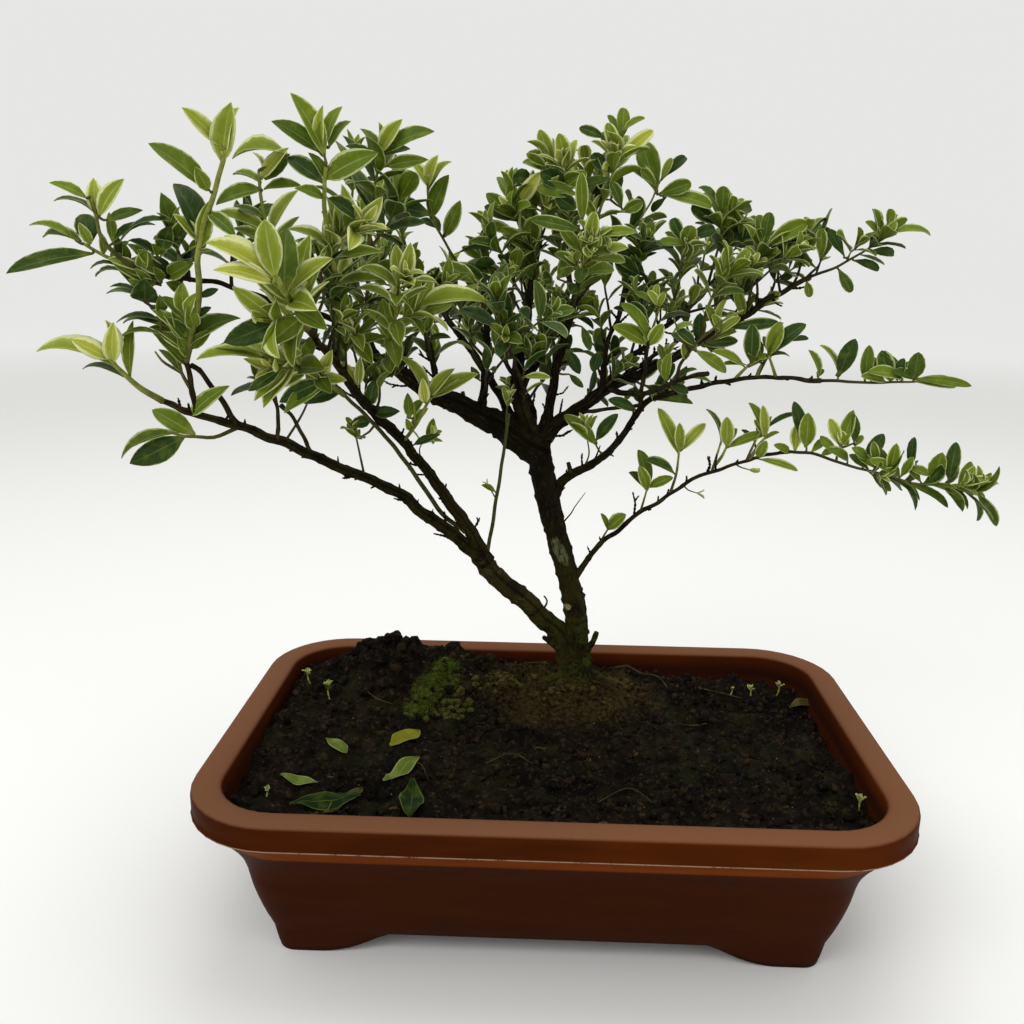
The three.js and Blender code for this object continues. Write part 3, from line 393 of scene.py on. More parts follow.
# Leaves set one by one on some sprays, as the camera sees them in its view 1024 points wide: the
# base across and down, the tip across and down, how far the tip lies behind the base in
# millimetres, how many degrees the blade is turned, and its width and youth in percent.
SET_LEAVES = {
    "far_left": [
        (80, 200, 50, 181, -3, 30, 42, 45), (97, 214, 91, 178, 2, 0, 50, 75),
        (104, 216, 124, 179, 3, 25, 46, 60), (98, 218, 53, 201, -4, 72, 40, 20),
        (90, 241, 84, 214, 5, 0, 80, 5), (93, 244, 79, 222, -4, 0, 50, 60),
        (62, 234, 29, 225, -3, 50, 42, 40), (82, 240, 43, 237, 2, 50, 42, 20),
        (90, 260, 7, 277, -6, 30, 25, 15), (119, 224, 143, 210, 0, 20, 44, 20),
        (117, 238, 155, 224, 4, 60, 40, 5), (131, 240, 173, 221, 2, 70, 36, 5),
        (112, 238, 107, 212, 2, 20, 46, 35), (118, 262, 113, 233, -3, 25, 44, 15),
        (126, 263, 123, 243, -4, 20, 46, 30), (115, 272, 90, 268, -4, 70, 36, 10),
        (125, 278, 96, 276, 2, 72, 36, 10), (140, 293, 110, 286, -4, 62, 38, 10),
        (142, 302, 105, 294, 2, 68, 36, 15), (152, 264, 128, 243, -2, 35, 44, 35),
        (160, 262, 152, 243, -4, 30, 46, 35), (150, 308, 146, 279, -6, 0, 88, 3),
        (163, 252, 170, 225, -2, 8, 68, 15), (176, 268, 195, 249, 4, 18, 48, 0),
        (168, 278, 193, 262, -4, 12, 54, 35), (135, 284, 118, 268, -3, 28, 46, 30),
        (150, 286, 135, 268, -5, 10, 46, 35), (165, 286, 152, 268, -6, 18, 48, 30),
        (180, 286, 168, 268, -4, 28, 46, 25), (130, 268, 112, 252, -3, 20, 44, 45),
        (158, 256, 128, 241, -3, 40, 40, 10), (152, 263, 138, 249, -4, 8, 70, 45),
        (165, 259, 179, 240, 2, 46, 40, 30), (172, 276, 152, 256, -4, 14, 60, 5),
        (150, 284, 111, 264, -3, 26, 44, 55), (140, 273, 108, 257, -4, 30, 42, 50),
        (166, 276, 130, 261, -5, 18, 50, 45), (160, 280, 124, 272, -4, 34, 44, 50),
        (168, 315, 159, 295, -4, 12, 60, 35), (178, 300, 166, 282, -5, 10, 56, 30),
        (104, 252, 98, 232, -4, 20, 48, 50), (112, 258, 128, 240, 3, 30, 46, 30),
        (142, 270, 146, 248, -4, 14, 56, 35), (190, 280, 176, 262, 3, 16, 52, 10),
        (146, 292, 128, 280, -5, 18, 52, 45), (160, 292, 140, 274, 4, 20, 56, 20)],
    "long_left_shoot": [
        (181, 312, 183, 282, -4, 8, 56, 55), (190, 318, 196, 292, -5, 35, 44, 50),
        (180, 322, 162, 296, 2, 25, 46, 30), (184, 336, 170, 306, -4, 15, 46, 35),
        (190, 354, 150, 326, -2, 38, 44, 40), (155, 318, 117, 321, -2, 66, 40, 5),
        (160, 332, 122, 324, 3, 60, 40, 0), (155, 345, 117, 341, -2, 68, 38, 30),
        (200, 299, 219, 290, 4, 20, 44, 0), (195, 319, 212, 308, 4, 25, 44, 0),
        (190, 346, 240, 317, 0, 46, 44, 20), (201, 243, 171, 184, 5, 30, 46, 0),
        (196, 243, 173, 214, -4, 28, 42, 60), (205, 246, 210, 200, -6, 12, 40, 45),
        (210, 212, 238, 236, -4, 18, 46, 25), (213, 142, 185, 105, -3, 8, 42, 75),
        (222, 160, 230, 102, -4, 16, 50, 65), (226, 158, 240, 108, 3, 40, 46, 75),
        (200, 187, 147, 145, -2, 28, 40, 35), (206, 193, 197, 166, -4, 0, 58, 40),
        (221, 150, 214, 118, 4, 30, 40, 80), (182, 335, 152, 310, -3, 34, 46, 45),
        (186, 341, 162, 312, -5, 20, 50, 40), (184, 338, 169, 316, -6, 10, 62, 15),
        (188, 352, 158, 334, -4, 26, 52, 35), (176, 330, 146, 322, 3, 50, 42, 10),
        (194, 330, 186, 304, -6, 8, 58, 45), (170, 322, 148, 306, 3, 36, 46, 30),
        (192, 356, 176, 336, -6, 12, 56, 40), (198, 350, 212, 330, -4, 20, 46, 30)],
    "front_upper": [
        (266, 189, 216, 205, -4, 38, 40, 30), (266, 189, 302, 189, -2, 42, 40, 30),
        (264, 183, 231, 175, 4, 62, 40, 40), (266, 179, 290, 150, -3, 28, 42, 75),
        (268, 181, 290, 154, 3, 5, 46, 20), (264, 178, 252, 152, 0, 60, 40, 75),
        (300, 148, 232, 159, -4, 60, 42, 60), (262, 218, 232, 208, 2, 45, 40, 15)],
    "front_centre": [
        (322, 140, 287, 95, -4, 26, 44, 50), (312, 147, 273, 119, -2, 22, 44, 25),
        (326, 142, 321, 105, -4, 32, 44, 70), (328, 142, 341, 106, 2, 34, 44, 50),
        (336, 150, 352, 122, 3, 42, 44, 30), (322, 184, 286, 158, 4, 20, 44, 0),
        (324, 180, 309, 152, -3, 28, 42, 30), (328, 180, 378, 152, -4, 16, 46, 30),
        (325, 200, 295, 187, -4, 28, 44, 40), (365, 224, 327, 200, -3, 26, 46, 2),
        (355, 236, 352, 200, -5, 28, 44, 40)],
    "left_top": [
        (378, 152, 402, 119, -3, 22, 44, 65), (388, 152, 434, 130, -3, 38, 42, 30),
        (376, 152, 362, 128, 3, 38, 44, 30), (377, 150, 378, 122, 0, 42, 42, 50),
        (372, 160, 345, 148, -3, 38, 46, 10), (398, 168, 428, 158, -3, 8, 46, 30),
        (390, 158, 410, 148, 3, 36, 46, 2)],
    "slanting": [
        (428, 188, 438, 155, -2, 26, 44, 75), (428, 186, 410, 160, -3, 26, 46, 65),
        (430, 190, 452, 162, 2, 48, 42, 60), (430, 218, 447, 174, -2, 22, 44, 30),
        (430, 216, 369, 206, -6, 26, 44, 3), (446, 237, 463, 202, -2, 0, 44, 28),
        (438, 228, 421, 218, 2, 26, 46, 5), (440, 232, 428, 214, -3, 34, 44, 15)],
    "front_large": [
        (272, 278, 261, 220, 4, 0, 50, 62), (284, 292, 288, 228, 4, 8, 50, 25),
        (265, 277, 204, 246, -3, 34, 42, 85), (264, 272, 222, 238, 3, 16, 46, 95),
        (268, 290, 214, 267, -6, 26, 40, 90), (296, 286, 332, 257, 3, 30, 44, 70),
        (290, 318, 262, 292, -4, 26, 44, 80), (280, 318, 226, 346, -5, 0, 46, 10)],
    "front_low": [
        (262, 357, 196, 362, -4, 54, 42, 60), (255, 353, 208, 353, 3, 66, 40, 5),
        (280, 380, 249, 392, -3, 6, 46, 10), (322, 384, 278, 399, -3, 5, 46, 0),
        (345, 389, 302, 402, 3, 24, 46, 5)],
    "left_tip": [
        (118, 368, 38, 349, -4, 50, 42, 70), (108, 360, 72, 338, -4, 6, 52, 95),
        (110, 362, 104, 320, 3, 38, 44, 85), (113, 364, 112, 322, -3, 8, 44, 85),
        (132, 376, 137, 321, 3, 34, 28, 50), (118, 378, 82, 369, 2, 60, 40, 10)],
    "left_low": [
        (195, 432, 150, 413, 3, 16, 44, 40), (180, 431, 121, 457, -3, 46, 26, 22),
        (184, 438, 132, 467, -3, 0, 46, 10), (190, 419, 229, 385, -3, 20, 32, 35)],
    "low_right_end": [
        (932, 478, 941, 452, -3, 0, 66, 35), (950, 475, 956, 442, 2, 0, 48, 0),
        (965, 483, 975, 466, -3, 0, 60, 60), (984, 489, 996, 482, 2, 30, 50, 10),
        (975, 492, 997, 526, -4, 24, 32, 15), (885, 478, 919, 502, -3, 50, 28, 20),
        (905, 480, 947, 510, -4, 46, 27, 20), (925, 483, 968, 508, -3, 46, 27, 30),
        (945, 484, 985, 500, -2, 36, 26, 50), (912, 462, 916, 437, 3, 26, 46, 5),
        (892, 466, 895, 443, -3, 0, 56, 50), (866, 452, 884, 434, 3, 0, 60, 10),
        (905, 468, 929, 475, -4, 26, 50, 40), (808, 434, 795, 401, 2, 4, 42, 5),
        (804, 447, 811, 413, -3, 0, 52, 50), (795, 450, 797, 425, 3, 0, 56, 65),
        (842, 442, 856, 411, -3, 10, 44, 45),
        (860, 441, 850, 414, -4, 26, 36, 20), (838, 440, 832, 418, 2, 0, 60, 70),
        (848, 448, 838, 430, -2, 0, 50, 60), (858, 450, 862, 435, 2, 0, 50, 40),
        (872, 456, 852, 447, -3, 26, 46, 35), (878, 462, 856, 452, 3, 16, 46, 40),
        (880, 458, 873, 441, -2, 0, 50, 30), (892, 470, 869, 460, -3, 26, 46, 50),
        (870, 467, 848, 456, 3, 26, 44, 20), (900, 474, 888, 457, 2, 0, 50, 35),
        (903, 474, 914, 457, -3, 0, 50, 40), (920, 478, 908, 463, 3, 0, 50, 30),
        (850, 456, 828, 447, -3, 26, 44, 30), (835, 453, 820, 436, 2, 0, 46, 50),
        (820, 455, 838, 446, -2, 12, 46, 30), (812, 452, 826, 438, 3, 8, 46, 40),
        (790, 453, 774, 444, -2, 14, 46, 40), (940, 482, 930, 462, 3, 10, 50, 45),
        (886, 468, 878, 448, 2, 12, 48, 20)],
    "low_right_upper": [
        (765, 438, 748, 403, 2, 36, 30, 40), (765, 436, 760, 406, -3, 10, 34, 70),
        (767, 436, 771, 416, 2, 30, 38, 75), (769, 432, 800, 415, 3, 44, 24, 10),
        (764, 436, 757, 427, 3, 10, 60, 0), (763, 441, 780, 433, 2, 36, 32, 60),
        (759, 461, 765, 440, -3, 4, 54, 45), (760, 460, 798, 470, -3, 20, 25, 50),
        (766, 438, 754, 420, 3, 20, 44, 55)],
    "low_right_twig": [
        (723, 444, 706, 409, 2, 70, 28, 20), (727, 445, 729, 417, -3, 0, 54, 65),
        (727, 449, 768, 434, -2, 20, 27, 45), (752, 436, 741, 430, 3, 30, 44, 0),
        (726, 448, 736, 428, 3, 20, 46, 55)],
    "low_right_inner": [
        (680, 454, 655, 410, 2, 20, 30, 60), (680, 452, 682, 423, -3, 0, 40, 60),
        (682, 452, 705, 423, 2, 12, 36, 70), (672, 474, 645, 460, 3, 38, 46, 10)],
    "low_right_first": [
        (648, 490, 637, 450, 2, 36, 42, 30), (648, 490, 641, 465, -3, 10, 46, 50),
        (648, 493, 628, 473, 3, 42, 44, 15), (650, 489, 673, 477, -3, 14, 44, 45)],
    "right_long_end": [
        (840, 370, 853, 338, -2, 0, 56, 10), (837, 366, 820, 345, 2, 62, 42, 40),
        (814, 372, 810, 349, -2, 44, 46, 30), (866, 379, 867, 345, -2, 4, 42, 30),
        (890, 379, 880, 351, 2, 0, 68, 15), (896, 378, 904, 358, -3, 16, 60, 10),
        (914, 377, 918, 352, -2, 0, 74, 20), (914, 377, 972, 382, -2, 8, 19, 35),
        (912, 381, 956, 386, 3, 10, 20, 40),
        (914, 379, 950, 375, 2, -12, 22, 30), (872, 378, 874, 357, 2, 10, 60, 20),
        (902, 376, 880, 352, 3, 56, 24, 10), (899, 378, 908, 361, 3, 36, 38, 10),
        (905, 380, 868, 374, -3, 36, 40, 40), (884, 381, 861, 376, -2, 26, 50, 40),
        (892, 378, 905, 368, 2, 26, 50, 20), (915, 380, 892, 373, -3, 34, 44, 20),
        (880, 380, 884, 364, 3, 10, 60, 40), (815, 378, 823, 369, 2, 20, 60, 20)],
    "right_end": [
        (840, 272, 852, 292, -3, 0, 52, 20), (855, 264, 879, 270, -3, 24, 46, 0),
        (870, 254, 894, 256, 2, 26, 46, 15), (893, 238, 930, 234, -2, 54, 40, 40),
        (885, 240, 895, 221, -2, 0, 50, 60), (880, 240, 866, 221, 2, 42, 44, 30),
        (820, 258, 822, 228, -2, 0, 46, 30), (838, 253, 828, 230, 2, 12, 50, 10),
        (800, 288, 811, 297, -2, 0, 70, 40), (812, 265, 780, 250, 2, 34, 46, 15)],
    "top_right": [
        (660, 196, 641, 143, 3, 8, 46, 30), (662, 194, 691, 182, -3, 0, 56, 30),
        (660, 188, 632, 172, 2, 34, 46, 20), (664, 176, 672, 158, -2, 10, 50, 60),
        (668, 174, 687, 158, 3, 24, 50, 5), (668, 198, 712, 206, -3, 36, 44, 35),
        (655, 186, 640, 170, -2, 10, 50, 35), (672, 200, 652, 212, 2, 30, 44, 10)],
    "right_rear": [
        (720, 206, 725, 186, -3, 0, 90, 30), (716, 206, 699, 187, 2, 52, 46, 20),
        (718, 224, 692, 205, -2, 0, 50, 10), (722, 216, 752, 210, 3, 22, 46, 20),
        (722, 236, 754, 230, -2, 0, 52, 0)],
    "right_top": [
        (762, 246, 757, 215, 2, 18, 46, 30), (766, 242, 769, 212, -2, 0, 52, 20),
        (768, 246, 805, 220, -3, 8, 46, 40), (770, 251, 806, 231, 2, 28, 46, 50),
        (776, 252, 812, 240, -2, 52, 44, 20)],
    "right_middle": [
        (681, 236, 673, 218, 2, 0, 74, 5), (688, 246, 690, 225, -3, 0, 90, 30),
        (690, 236, 715, 228, 2, 10, 54, 0), (686, 246, 658, 243, -2, 40, 44, 40)],
    "centre_right": [
        (652, 280, 608, 243, -3, 16, 34, 0), (641, 287, 615, 258, -4, 0, 52, 5)],
    "top": [
        (618, 160, 610, 122, -2, 0, 42, 45), (618, 163, 651, 128, -3, 6, 36, 90),
        (622, 132, 626, 108, 3, 0, 60, 40), (618, 131, 608, 115, 2, 24, 46, 30),
        (625, 126, 645, 118, -2, 38, 44, 40), (600, 139, 580, 126, 2, 8, 50, 10),
        (612, 173, 592, 154, 3, 0, 54, 0), (620, 203, 622, 175, -2, 0, 42, 10),
        (626, 211, 612, 181, -3, 16, 42, 20), (608, 179, 583, 190, -3, 26, 46, 20),
        (595, 222, 585, 199, -4, 0, 50, 40), (622, 218, 643, 202, -3, 0, 58, 30),
        (598, 150, 606, 132, 3, 20, 46, 35)],
    "left_middle": [
        (184, 366, 155, 338, -5, 28, 44, 40), (184, 374, 158, 350, -2, 45, 42, 35),
        (175, 346, 165, 318, 2, 18, 50, 20), (176, 352, 152, 330, 3, 30, 44, 30)],
    "centre_top": [
        (556, 166, 541, 129, -3, 0, 42, 60), (569, 166, 557, 134, -4, 0, 54, 60),
        (574, 166, 577, 140, 2, 26, 44, 75), (557, 167, 527, 152, -3, 14, 50, 45),
        (553, 173, 523, 161, 3, 34, 46, 30), (571, 187, 541, 171, -5, 0, 60, 0),
        (581, 199, 537, 187, -5, 16, 40, 30), (574, 216, 557, 194, -5, 0, 68, 5)],
    "centre_upper_left": [
        (518, 206, 539, 171, -4, 0, 42, 90), (541, 173, 513, 180, -3, 0, 70, 10),
        (521, 216, 507, 183, -3, 0, 48, 35), (536, 246, 530, 203, -4, 0, 60, 25),
        (541, 291, 525, 248, -5, 0, 42, 20), (531, 251, 500, 227, -5, 10, 42, 45),
        (512, 223, 484, 207, 3, 14, 46, 5), (507, 241, 483, 221, -3, 20, 44, 45)],
    "centre_left": [
        (498, 249, 470, 241, -3, 30, 44, 20), (481, 291, 468, 264, -4, 0, 62, 10),
        (504, 276, 474, 269, -5, 34, 46, 50), (498, 298, 468, 289, -4, 0, 54, 0)],
    "inner_front": [
        (420, 302, 487, 306, -6, 46, 40, 60)],
    "centre_right_low": [
        (648, 346, 614, 324, -3, 26, 46, 50), (646, 342, 622, 302, -3, 34, 34, 40),
        (650, 346, 663, 324, -3, 0, 62, 50), (651, 345, 644, 322, 2, 10, 50, 50),
        (656, 306, 648, 290, -2, 20, 48, 60), (656, 308, 664, 292, -2, 10, 48, 55),
        (652, 304, 634, 294, 2, 36, 44, 30), (655, 300, 656, 284, 2, 0, 50, 60)],
    "front_right": [
        (700, 346, 699, 313, -3, 0, 46, 0), (694, 346, 676, 330, -3, 20, 52, 0),
        (693, 347, 671, 334, 3, 30, 38, 10), (704, 347, 738, 341, -3, 10, 42, 0),
        (664, 336, 694, 326, 2, 56, 36, 40), (708, 350, 733, 357, 2, 40, 38, 10),
        (698, 353, 724, 375, -4, 26, 44, 35), (688, 361, 684, 343, -3, 10, 50, 50),
        (768, 356, 779, 321, -3, 0, 50, 45), (774, 350, 804, 322, -3, 20, 46, 5),
        (771, 352, 790, 341, 3, 30, 42, 30), (795, 336, 809, 340, 2, 30, 44, 0),
        (700, 352, 688, 340, 3, 16, 50, 40), (704, 350, 712, 332, 3, 20, 46, 45),
        (744, 317, 737, 288, -3, 6, 40, 50), (745, 316, 760, 294, 2, 40, 32, 30),
        (742, 315, 722, 317, 3, 50, 24, 5), (746, 320, 752, 304, 3, 20, 50, 40),
        (742, 326, 728, 312, -3, 20, 46, 40)],
    "right_inner": [
        (728, 328, 779, 325, -4, 14, 28, 0), (720, 334, 741, 318, -3, 20, 42, 60),
        (715, 331, 707, 304, -2, 30, 42, 30), (716, 324, 726, 299, -3, 40, 36, 60),
        (710, 343, 737, 332, 3, 40, 42, 50), (722, 330, 712, 314, -3, 14, 50, 45)],
    "right_low": [
        (749, 361, 753, 324, -3, 0, 50, 10), (745, 366, 712, 353, -3, 40, 34, 45),
        (745, 364, 721, 366, 2, 50, 36, 45), (748, 368, 772, 357, -3, 46, 40, 40),
        (765, 359, 790, 357, 2, 60, 32, 20), (760, 356, 757, 338, 3, 50, 36, 20),
        (770, 354, 764, 336, 3, 20, 46, 20), (752, 364, 760, 346, 3, 16, 50, 30)],
    "low_light": [
        (403, 419, 406, 393, -3, 0, 42, 35), (402, 416, 425, 400, 3, 20, 40, 50),
        (423, 398, 400, 355, 2, 50, 40, 60), (428, 394, 455, 369, -3, 26, 38, 60),
        (432, 398, 479, 376, -4, 28, 34, 60), (424, 403, 421, 378, -5, 0, 46, 85),
        (409, 426, 428, 408, 3, 24, 40, 50), (411, 431, 407, 418, -3, 0, 54, 50)],
    "lone_sprigs": [
        (493, 491, 481, 486, 0, 30, 56, 35), (362, 383, 343, 360, -4, 10, 44, 75),
        (361, 383, 358, 357, -3, 0, 44, 65),
        (368, 406, 376, 378, -3, 0, 52, 10), (373, 412, 400, 413, -3, 0, 48, 10),
        (372, 419, 350, 425, -3, 0, 60, 10), (355, 442, 345, 428, -2, 10, 44, 40),
        (356, 441, 359, 429, 2, 20, 44, 40), (422, 437, 440, 433, -2, 10, 46, 0),
        (471, 379, 472, 366, -2, 0, 60, 10), (392, 346, 397, 363, 0, 50, 40, 0),
        (578, 352, 580, 374, -3, 0, 60, 0), (588, 350, 594, 372, -4, 0, 60, 0),
        (588, 329, 592, 350, -3, 0, 50, 20), (598, 324, 600, 345, 3, 14, 44, 20),
        (575, 375, 583, 388, -2, 0, 52, 15), (530, 375, 551, 378, -3, 24, 42, 60),
        (592, 440, 563, 416, -3, 20, 42, 30), (596, 434, 620, 416, -3, 16, 46, 5),
        (636, 410, 608, 400, -3, 26, 44, 5), (664, 378, 668, 352, -2, 20, 44, 40),
        (664, 378, 657, 360, 2, 10, 46, 30), (680, 370, 697, 369, -2, 50, 40, 0),
        (680, 379, 711, 384, -2, 50, 24, 30), (671, 386, 688, 394, -3, 20, 60, 0),
        (657, 404, 693, 404, -3, 30, 28, 15), (656, 404, 652, 391, -2, 10, 46, 30),
        (608, 530, 627, 516, -3, 20, 64, 40), (606, 529, 601, 513, -2, 30, 38, 30),
        (608, 529, 614, 518, 2, 10, 56, 50)],
    "centre_front": [
        (578, 216, 581, 172, -6, 0, 34, 35), (575, 233, 530, 221, -6, 14, 32, 20),
        (585, 241, 596, 212, -7, 0, 50, 60), (588, 238, 636, 234, -6, 36, 28, 50),
        (572, 251, 560, 225, -6, 0, 46, 45), (548, 276, 581, 248, -6, 0, 46, 35)],
}

# Dropped leaves: node, x and y of the stalk's end, heading in degrees, length, width, tone.
FALLEN = [
    ("fallen_leaf_pale", -106, -9, -42, 18, 6.5, "young"),
    ("fallen_leaf_yellow", -75, -12, 58, 20, 10, "young"),
    ("fallen_leaf_long", -73, -44, 66, 27, 8, "young"),
    ("fallen_leaf_dark", -60, -46, -82, 25, 10.5, "dark"),
    ("fallen_leaf_small", -119, -42, -18, 20, 9.5, "mature"),
    ("fallen_leaf_green", -110, -62, 10, 30, 10, "mature"),
]

# Two withered ones that only the scene has: name, then the same, and the slot.
WITHERED = [
    ("dropped_leaf_brownish", -94, -69, 62, 24, 7.5, "fallen_green"),
    ("dropped_leaf_dry", 125, 50, 28, 14, 6, "fallen_pale"),
]

# The tray's outer and inner walls: height, and how far in from the rim's edge.
OUTER_WALL = [
    (67.6, 3.2), (60, 9.5), (52, 15.8), (44, 20), (32, 22.8), (20, 26.8), (11, 30.8),
]
FOOT_INSET = 33
FOOT_HEIGHT = 11
FOOT_FLARE = 2.2
INNER_WALL = [
    (77, 12.9), (68, 13.8), (56, 17), (48, 21.5), (40, 24.5), (13.5, 32),
]
UNDERSIDE = 10.4
TRAY_FLOOR = 13.5
# The arches under the long and short sides: from the middle to the foot, and to the crown.
LONG_ARCH = (97, 60)
SHORT_ARCH = (40, 14)
# Rings of the floor, above and below: how far in from the rim's edge.
FLOOR_EDGE = 40
FLOOR_RINGS = (50, 60, 70, 80, 90, 97)
UNDER_RINGS = (36, 40, 45, 50, 55, 60, 66, 72, 78, 84, 90, 97)
# Steps of the outline at a corner, along a long side and along a short side.
OUTLINE_STEPS = (9, 54, 34)
DRAIN_PLACES = [(-62, -26), (-62, 26), (62, -26), (62, 26)]

# Heaps of soil: middle x and y, half-widths in x and y, height.
SOIL_HEAPS = [
    (13, 54, 46, 30, 9), (-72, 64, 50, 24, 13), (-100, 20, 40, 40, 3), (112, 40, 34, 40, -4),
]
# Loose soil on top of them, in the same way.
LOOSE_HEAPS = [
    (-90, 73, 24, 13, 12.5), (-46, 76, 18, 10, 5.0), (4, 66, 12, 9, 3.5), (20, 50, 20, 16, 1.5),
    (-96, 46, 16, 12, 2.0), (-128, 10, 13, 60, 4.5), (-10, 78, 20, 9, 2.5),
    (40, 77, 20, 8, 3.2), (98, 76, 13, 9, 4.0), (66, 70, 24, 12, 1.2),
]
SOIL_LEVEL = 67.0
SOIL_SHEET = (278, 180)
# How far in from the rim's edge the soil meets the wall, how high it may lie there, and how
# much higher for each millimetre further in.
SOIL_INSET = 14.2
HEAP_EDGE = 77.0
HEAP_SLOPE = 1.1
SOIL_LUMPS = [(0.19, 0.13, 1.3), (-0.11, 0.23, 1.1), (0.33, -0.29, 0.7)]

# Patches of moss: middle x and y, half-widths in x and y, how many tufts, how green.
MOSS_PATCHES = [
    (-67, 26, 6, 14, 330, 1.0), (-63, 43, 10, 10, 520, 1.0), (-55, 52, 7, 12, 420, 1.0),
    (-50, 38, 16, 20, 300, 0.6), (-26, 52, 15, 15, 190, 0.45),
    (14, 44, 34, 17, 330, 0.15), (-8, 60, 18, 16, 170, 0.3), (38, 58, 14, 13, 110, 0.2),
]

# Lone shoots that the limbs carry: route, radius, leaf length, pairs, how young, how round.
LONE_SHOOTS = [
    ([(-33, 33, 178), (-33, 32, 186)], 0.4, 7, 1, 0.6, 0.3),
    ([(13, 50, 190), (16, 48, 198), (15, 46, 206), (14, 45, 213)], 0.5, 13, 2, 0.6, 0.2),
    ([(51, 42, 229), (50, 40, 239), (50, 38, 248)], 0.5, 11, 2, 0.35, 0.5),
    ([(112, 57, 279), (106, 57, 284), (101, 56, 290)], 0.5, 11, 2, 0.35, 0.6),
    ([(-68, 34, 196), (-66, 36, 202), (-60, 34, 209)], 0.45, 10, 2, 0.6, 0.3),
    ([(-86, 10, 194), (-89, 6, 202), (-90, 2, 212), (-91, 0, 218)], 0.6, 9, 2, 0.4, 0.8),
    ([(-118, -14, 212), (-110, -12, 226), (-104, -14, 240)], 0.6, 15, 3, 0.35, 0.2),
    ([(62, 38, 186), (64, 37, 184), (68, 35, 183)], 0.4, 10, 1, 0.4, 0.4),
    ([(84, 32, 199), (87, 31, 197), (91, 30, 196)], 0.4, 12, 1, 0.4, 0.4),
    ([(-28, 30, 213), (-24, 27, 221), (-23, 25, 228)], 0.55, 10, 2, 0.45, 0.3),
]

# Thin roots on the soil: route as x, y and height over the soil, radius at each end.
THIN_ROOTS = [
    ([(33, 78, 0.4), (42, 78, 2.0), (50, 73, 2.6), (58, 68, 1.6), (64, 60, 0.8),
      (69, 46, -0.6)], 0.75, 0.35),
    ([(22, 52, 1.0), (30, 44, 1.4), (40, 42, 0.8), (52, 38, -0.4)], 0.5, 0.3),
    ([(-2, 62, 0.8), (-14, 66, 1.5), (-24, 62, 0.4)], 0.45, 0.3),
    ([(80, 66, 0.5), (92, 60, 1.6), (104, 62, 0.2)], 0.4, 0.25),
    ([(-96, 40, 0.4), (-88, 30, 1.8), (-80, 30, 0.2)], 0.4, 0.25),
    ([(-64, -22, 0.4), (-58, -30, 1.6), (-54, -38, 0.2)], 0.45, 0.3),
    ([(84, 30, 0.4), (70, 24, 1.3), (60, 28, 0.2)], 0.4, 0.25),
    ([(-30, -20, 0.3), (-18, -14, 1.2), (-8, -20, 0.1)], 0.35, 0.25),
    ([(20, -50, 0.3), (34, -44, 1.4), (44, -50, 0.1)], 0.4, 0.25),
]
# A twig as fine as a hair that stands off the trunk.
HAIR_TWIG = [(4, 49, 163), (8, 49, 168), (10, 48, 172), (15, 49, 179)]

# Little seedlings on the soil: x, y, height, leaf length.
SEEDLINGS = [
    (122, 70, 8, 4), (-125, 44, 8, 5), (-113, 34, 9, 6), (131, -52, 7, 7), (108, 66, 5, 4),
    (-121, -58, 4, 5), (96, 62, 4, 3.5),
]


class Draw:
    """A repeatable stream of numbers from 0 to 1."""

    def __init__(self, seed):
        self.state = (seed * 7919 + 12345) & 0xFFFFFFFF
        for _ in range(4):
            self()

    def __call__(self):
        self.state = (self.state * 1664525 + 1013904223) & 0xFFFFFFFF
        return self.state / 4294967296

    def between(self, low, high):
        return low + (high - low) * self()

    def around(self, spread):
        return (self() * 2 - 1) * spread


# ---- Finishes --------------------------------------------------------------------------------

def linear(colour):
    """A colour as the shader wants it, from a six-figure hexadecimal number."""
    parts = [((colour >> shift) & 255) / 255 for shift in (16, 8, 0)]
    return tuple(c / 12.92 if c <= 0.04045 else ((c + 0.055) / 1.055) ** 2.4 for c in parts)


class Number:
    """A shader value that can be used in arithmetic."""

    def __init__(self, finish, socket):
        self.finish = finish
        self.socket = socket

    def _maths(self, operation, *values):
        return self.finish.node("ShaderNodeMath", {"operation": operation}, *values)

    def __add__(self, other):
        return self._maths("ADD", self, other)

    def __sub__(self, other):
        return self._maths("SUBTRACT", self, other)

    def __rsub__(self, other):
        return self._maths("SUBTRACT", other, self)

    def __mul__(self, other):
        return self._maths("MULTIPLY", self, other)

    def __truediv__(self, other):
        return self._maths("DIVIDE", self, other)

    def __pow__(self, other):
        return self._maths("POWER", self, other)

    def __abs__(self):
        return self._maths("ABSOLUTE", self)

    __radd__ = __add__
    __rmul__ = __mul__

    def most(self, other):
        return self._maths("MAXIMUM", self, other)

    def sine(self):
        return self._maths("SINE", self)

    def between(self, low, high):
        """0 below low, 1 above high, and smooth in between; low may be the larger."""
        settings = {"interpolation_type": "SMOOTHSTEP"}
        if low < high:
            return self.finish.node("ShaderNodeMapRange", settings, self, low, high, 0.0, 1.0)
        return self.finish.node("ShaderNodeMapRange", settings, self, high, low, 1.0, 0.0)


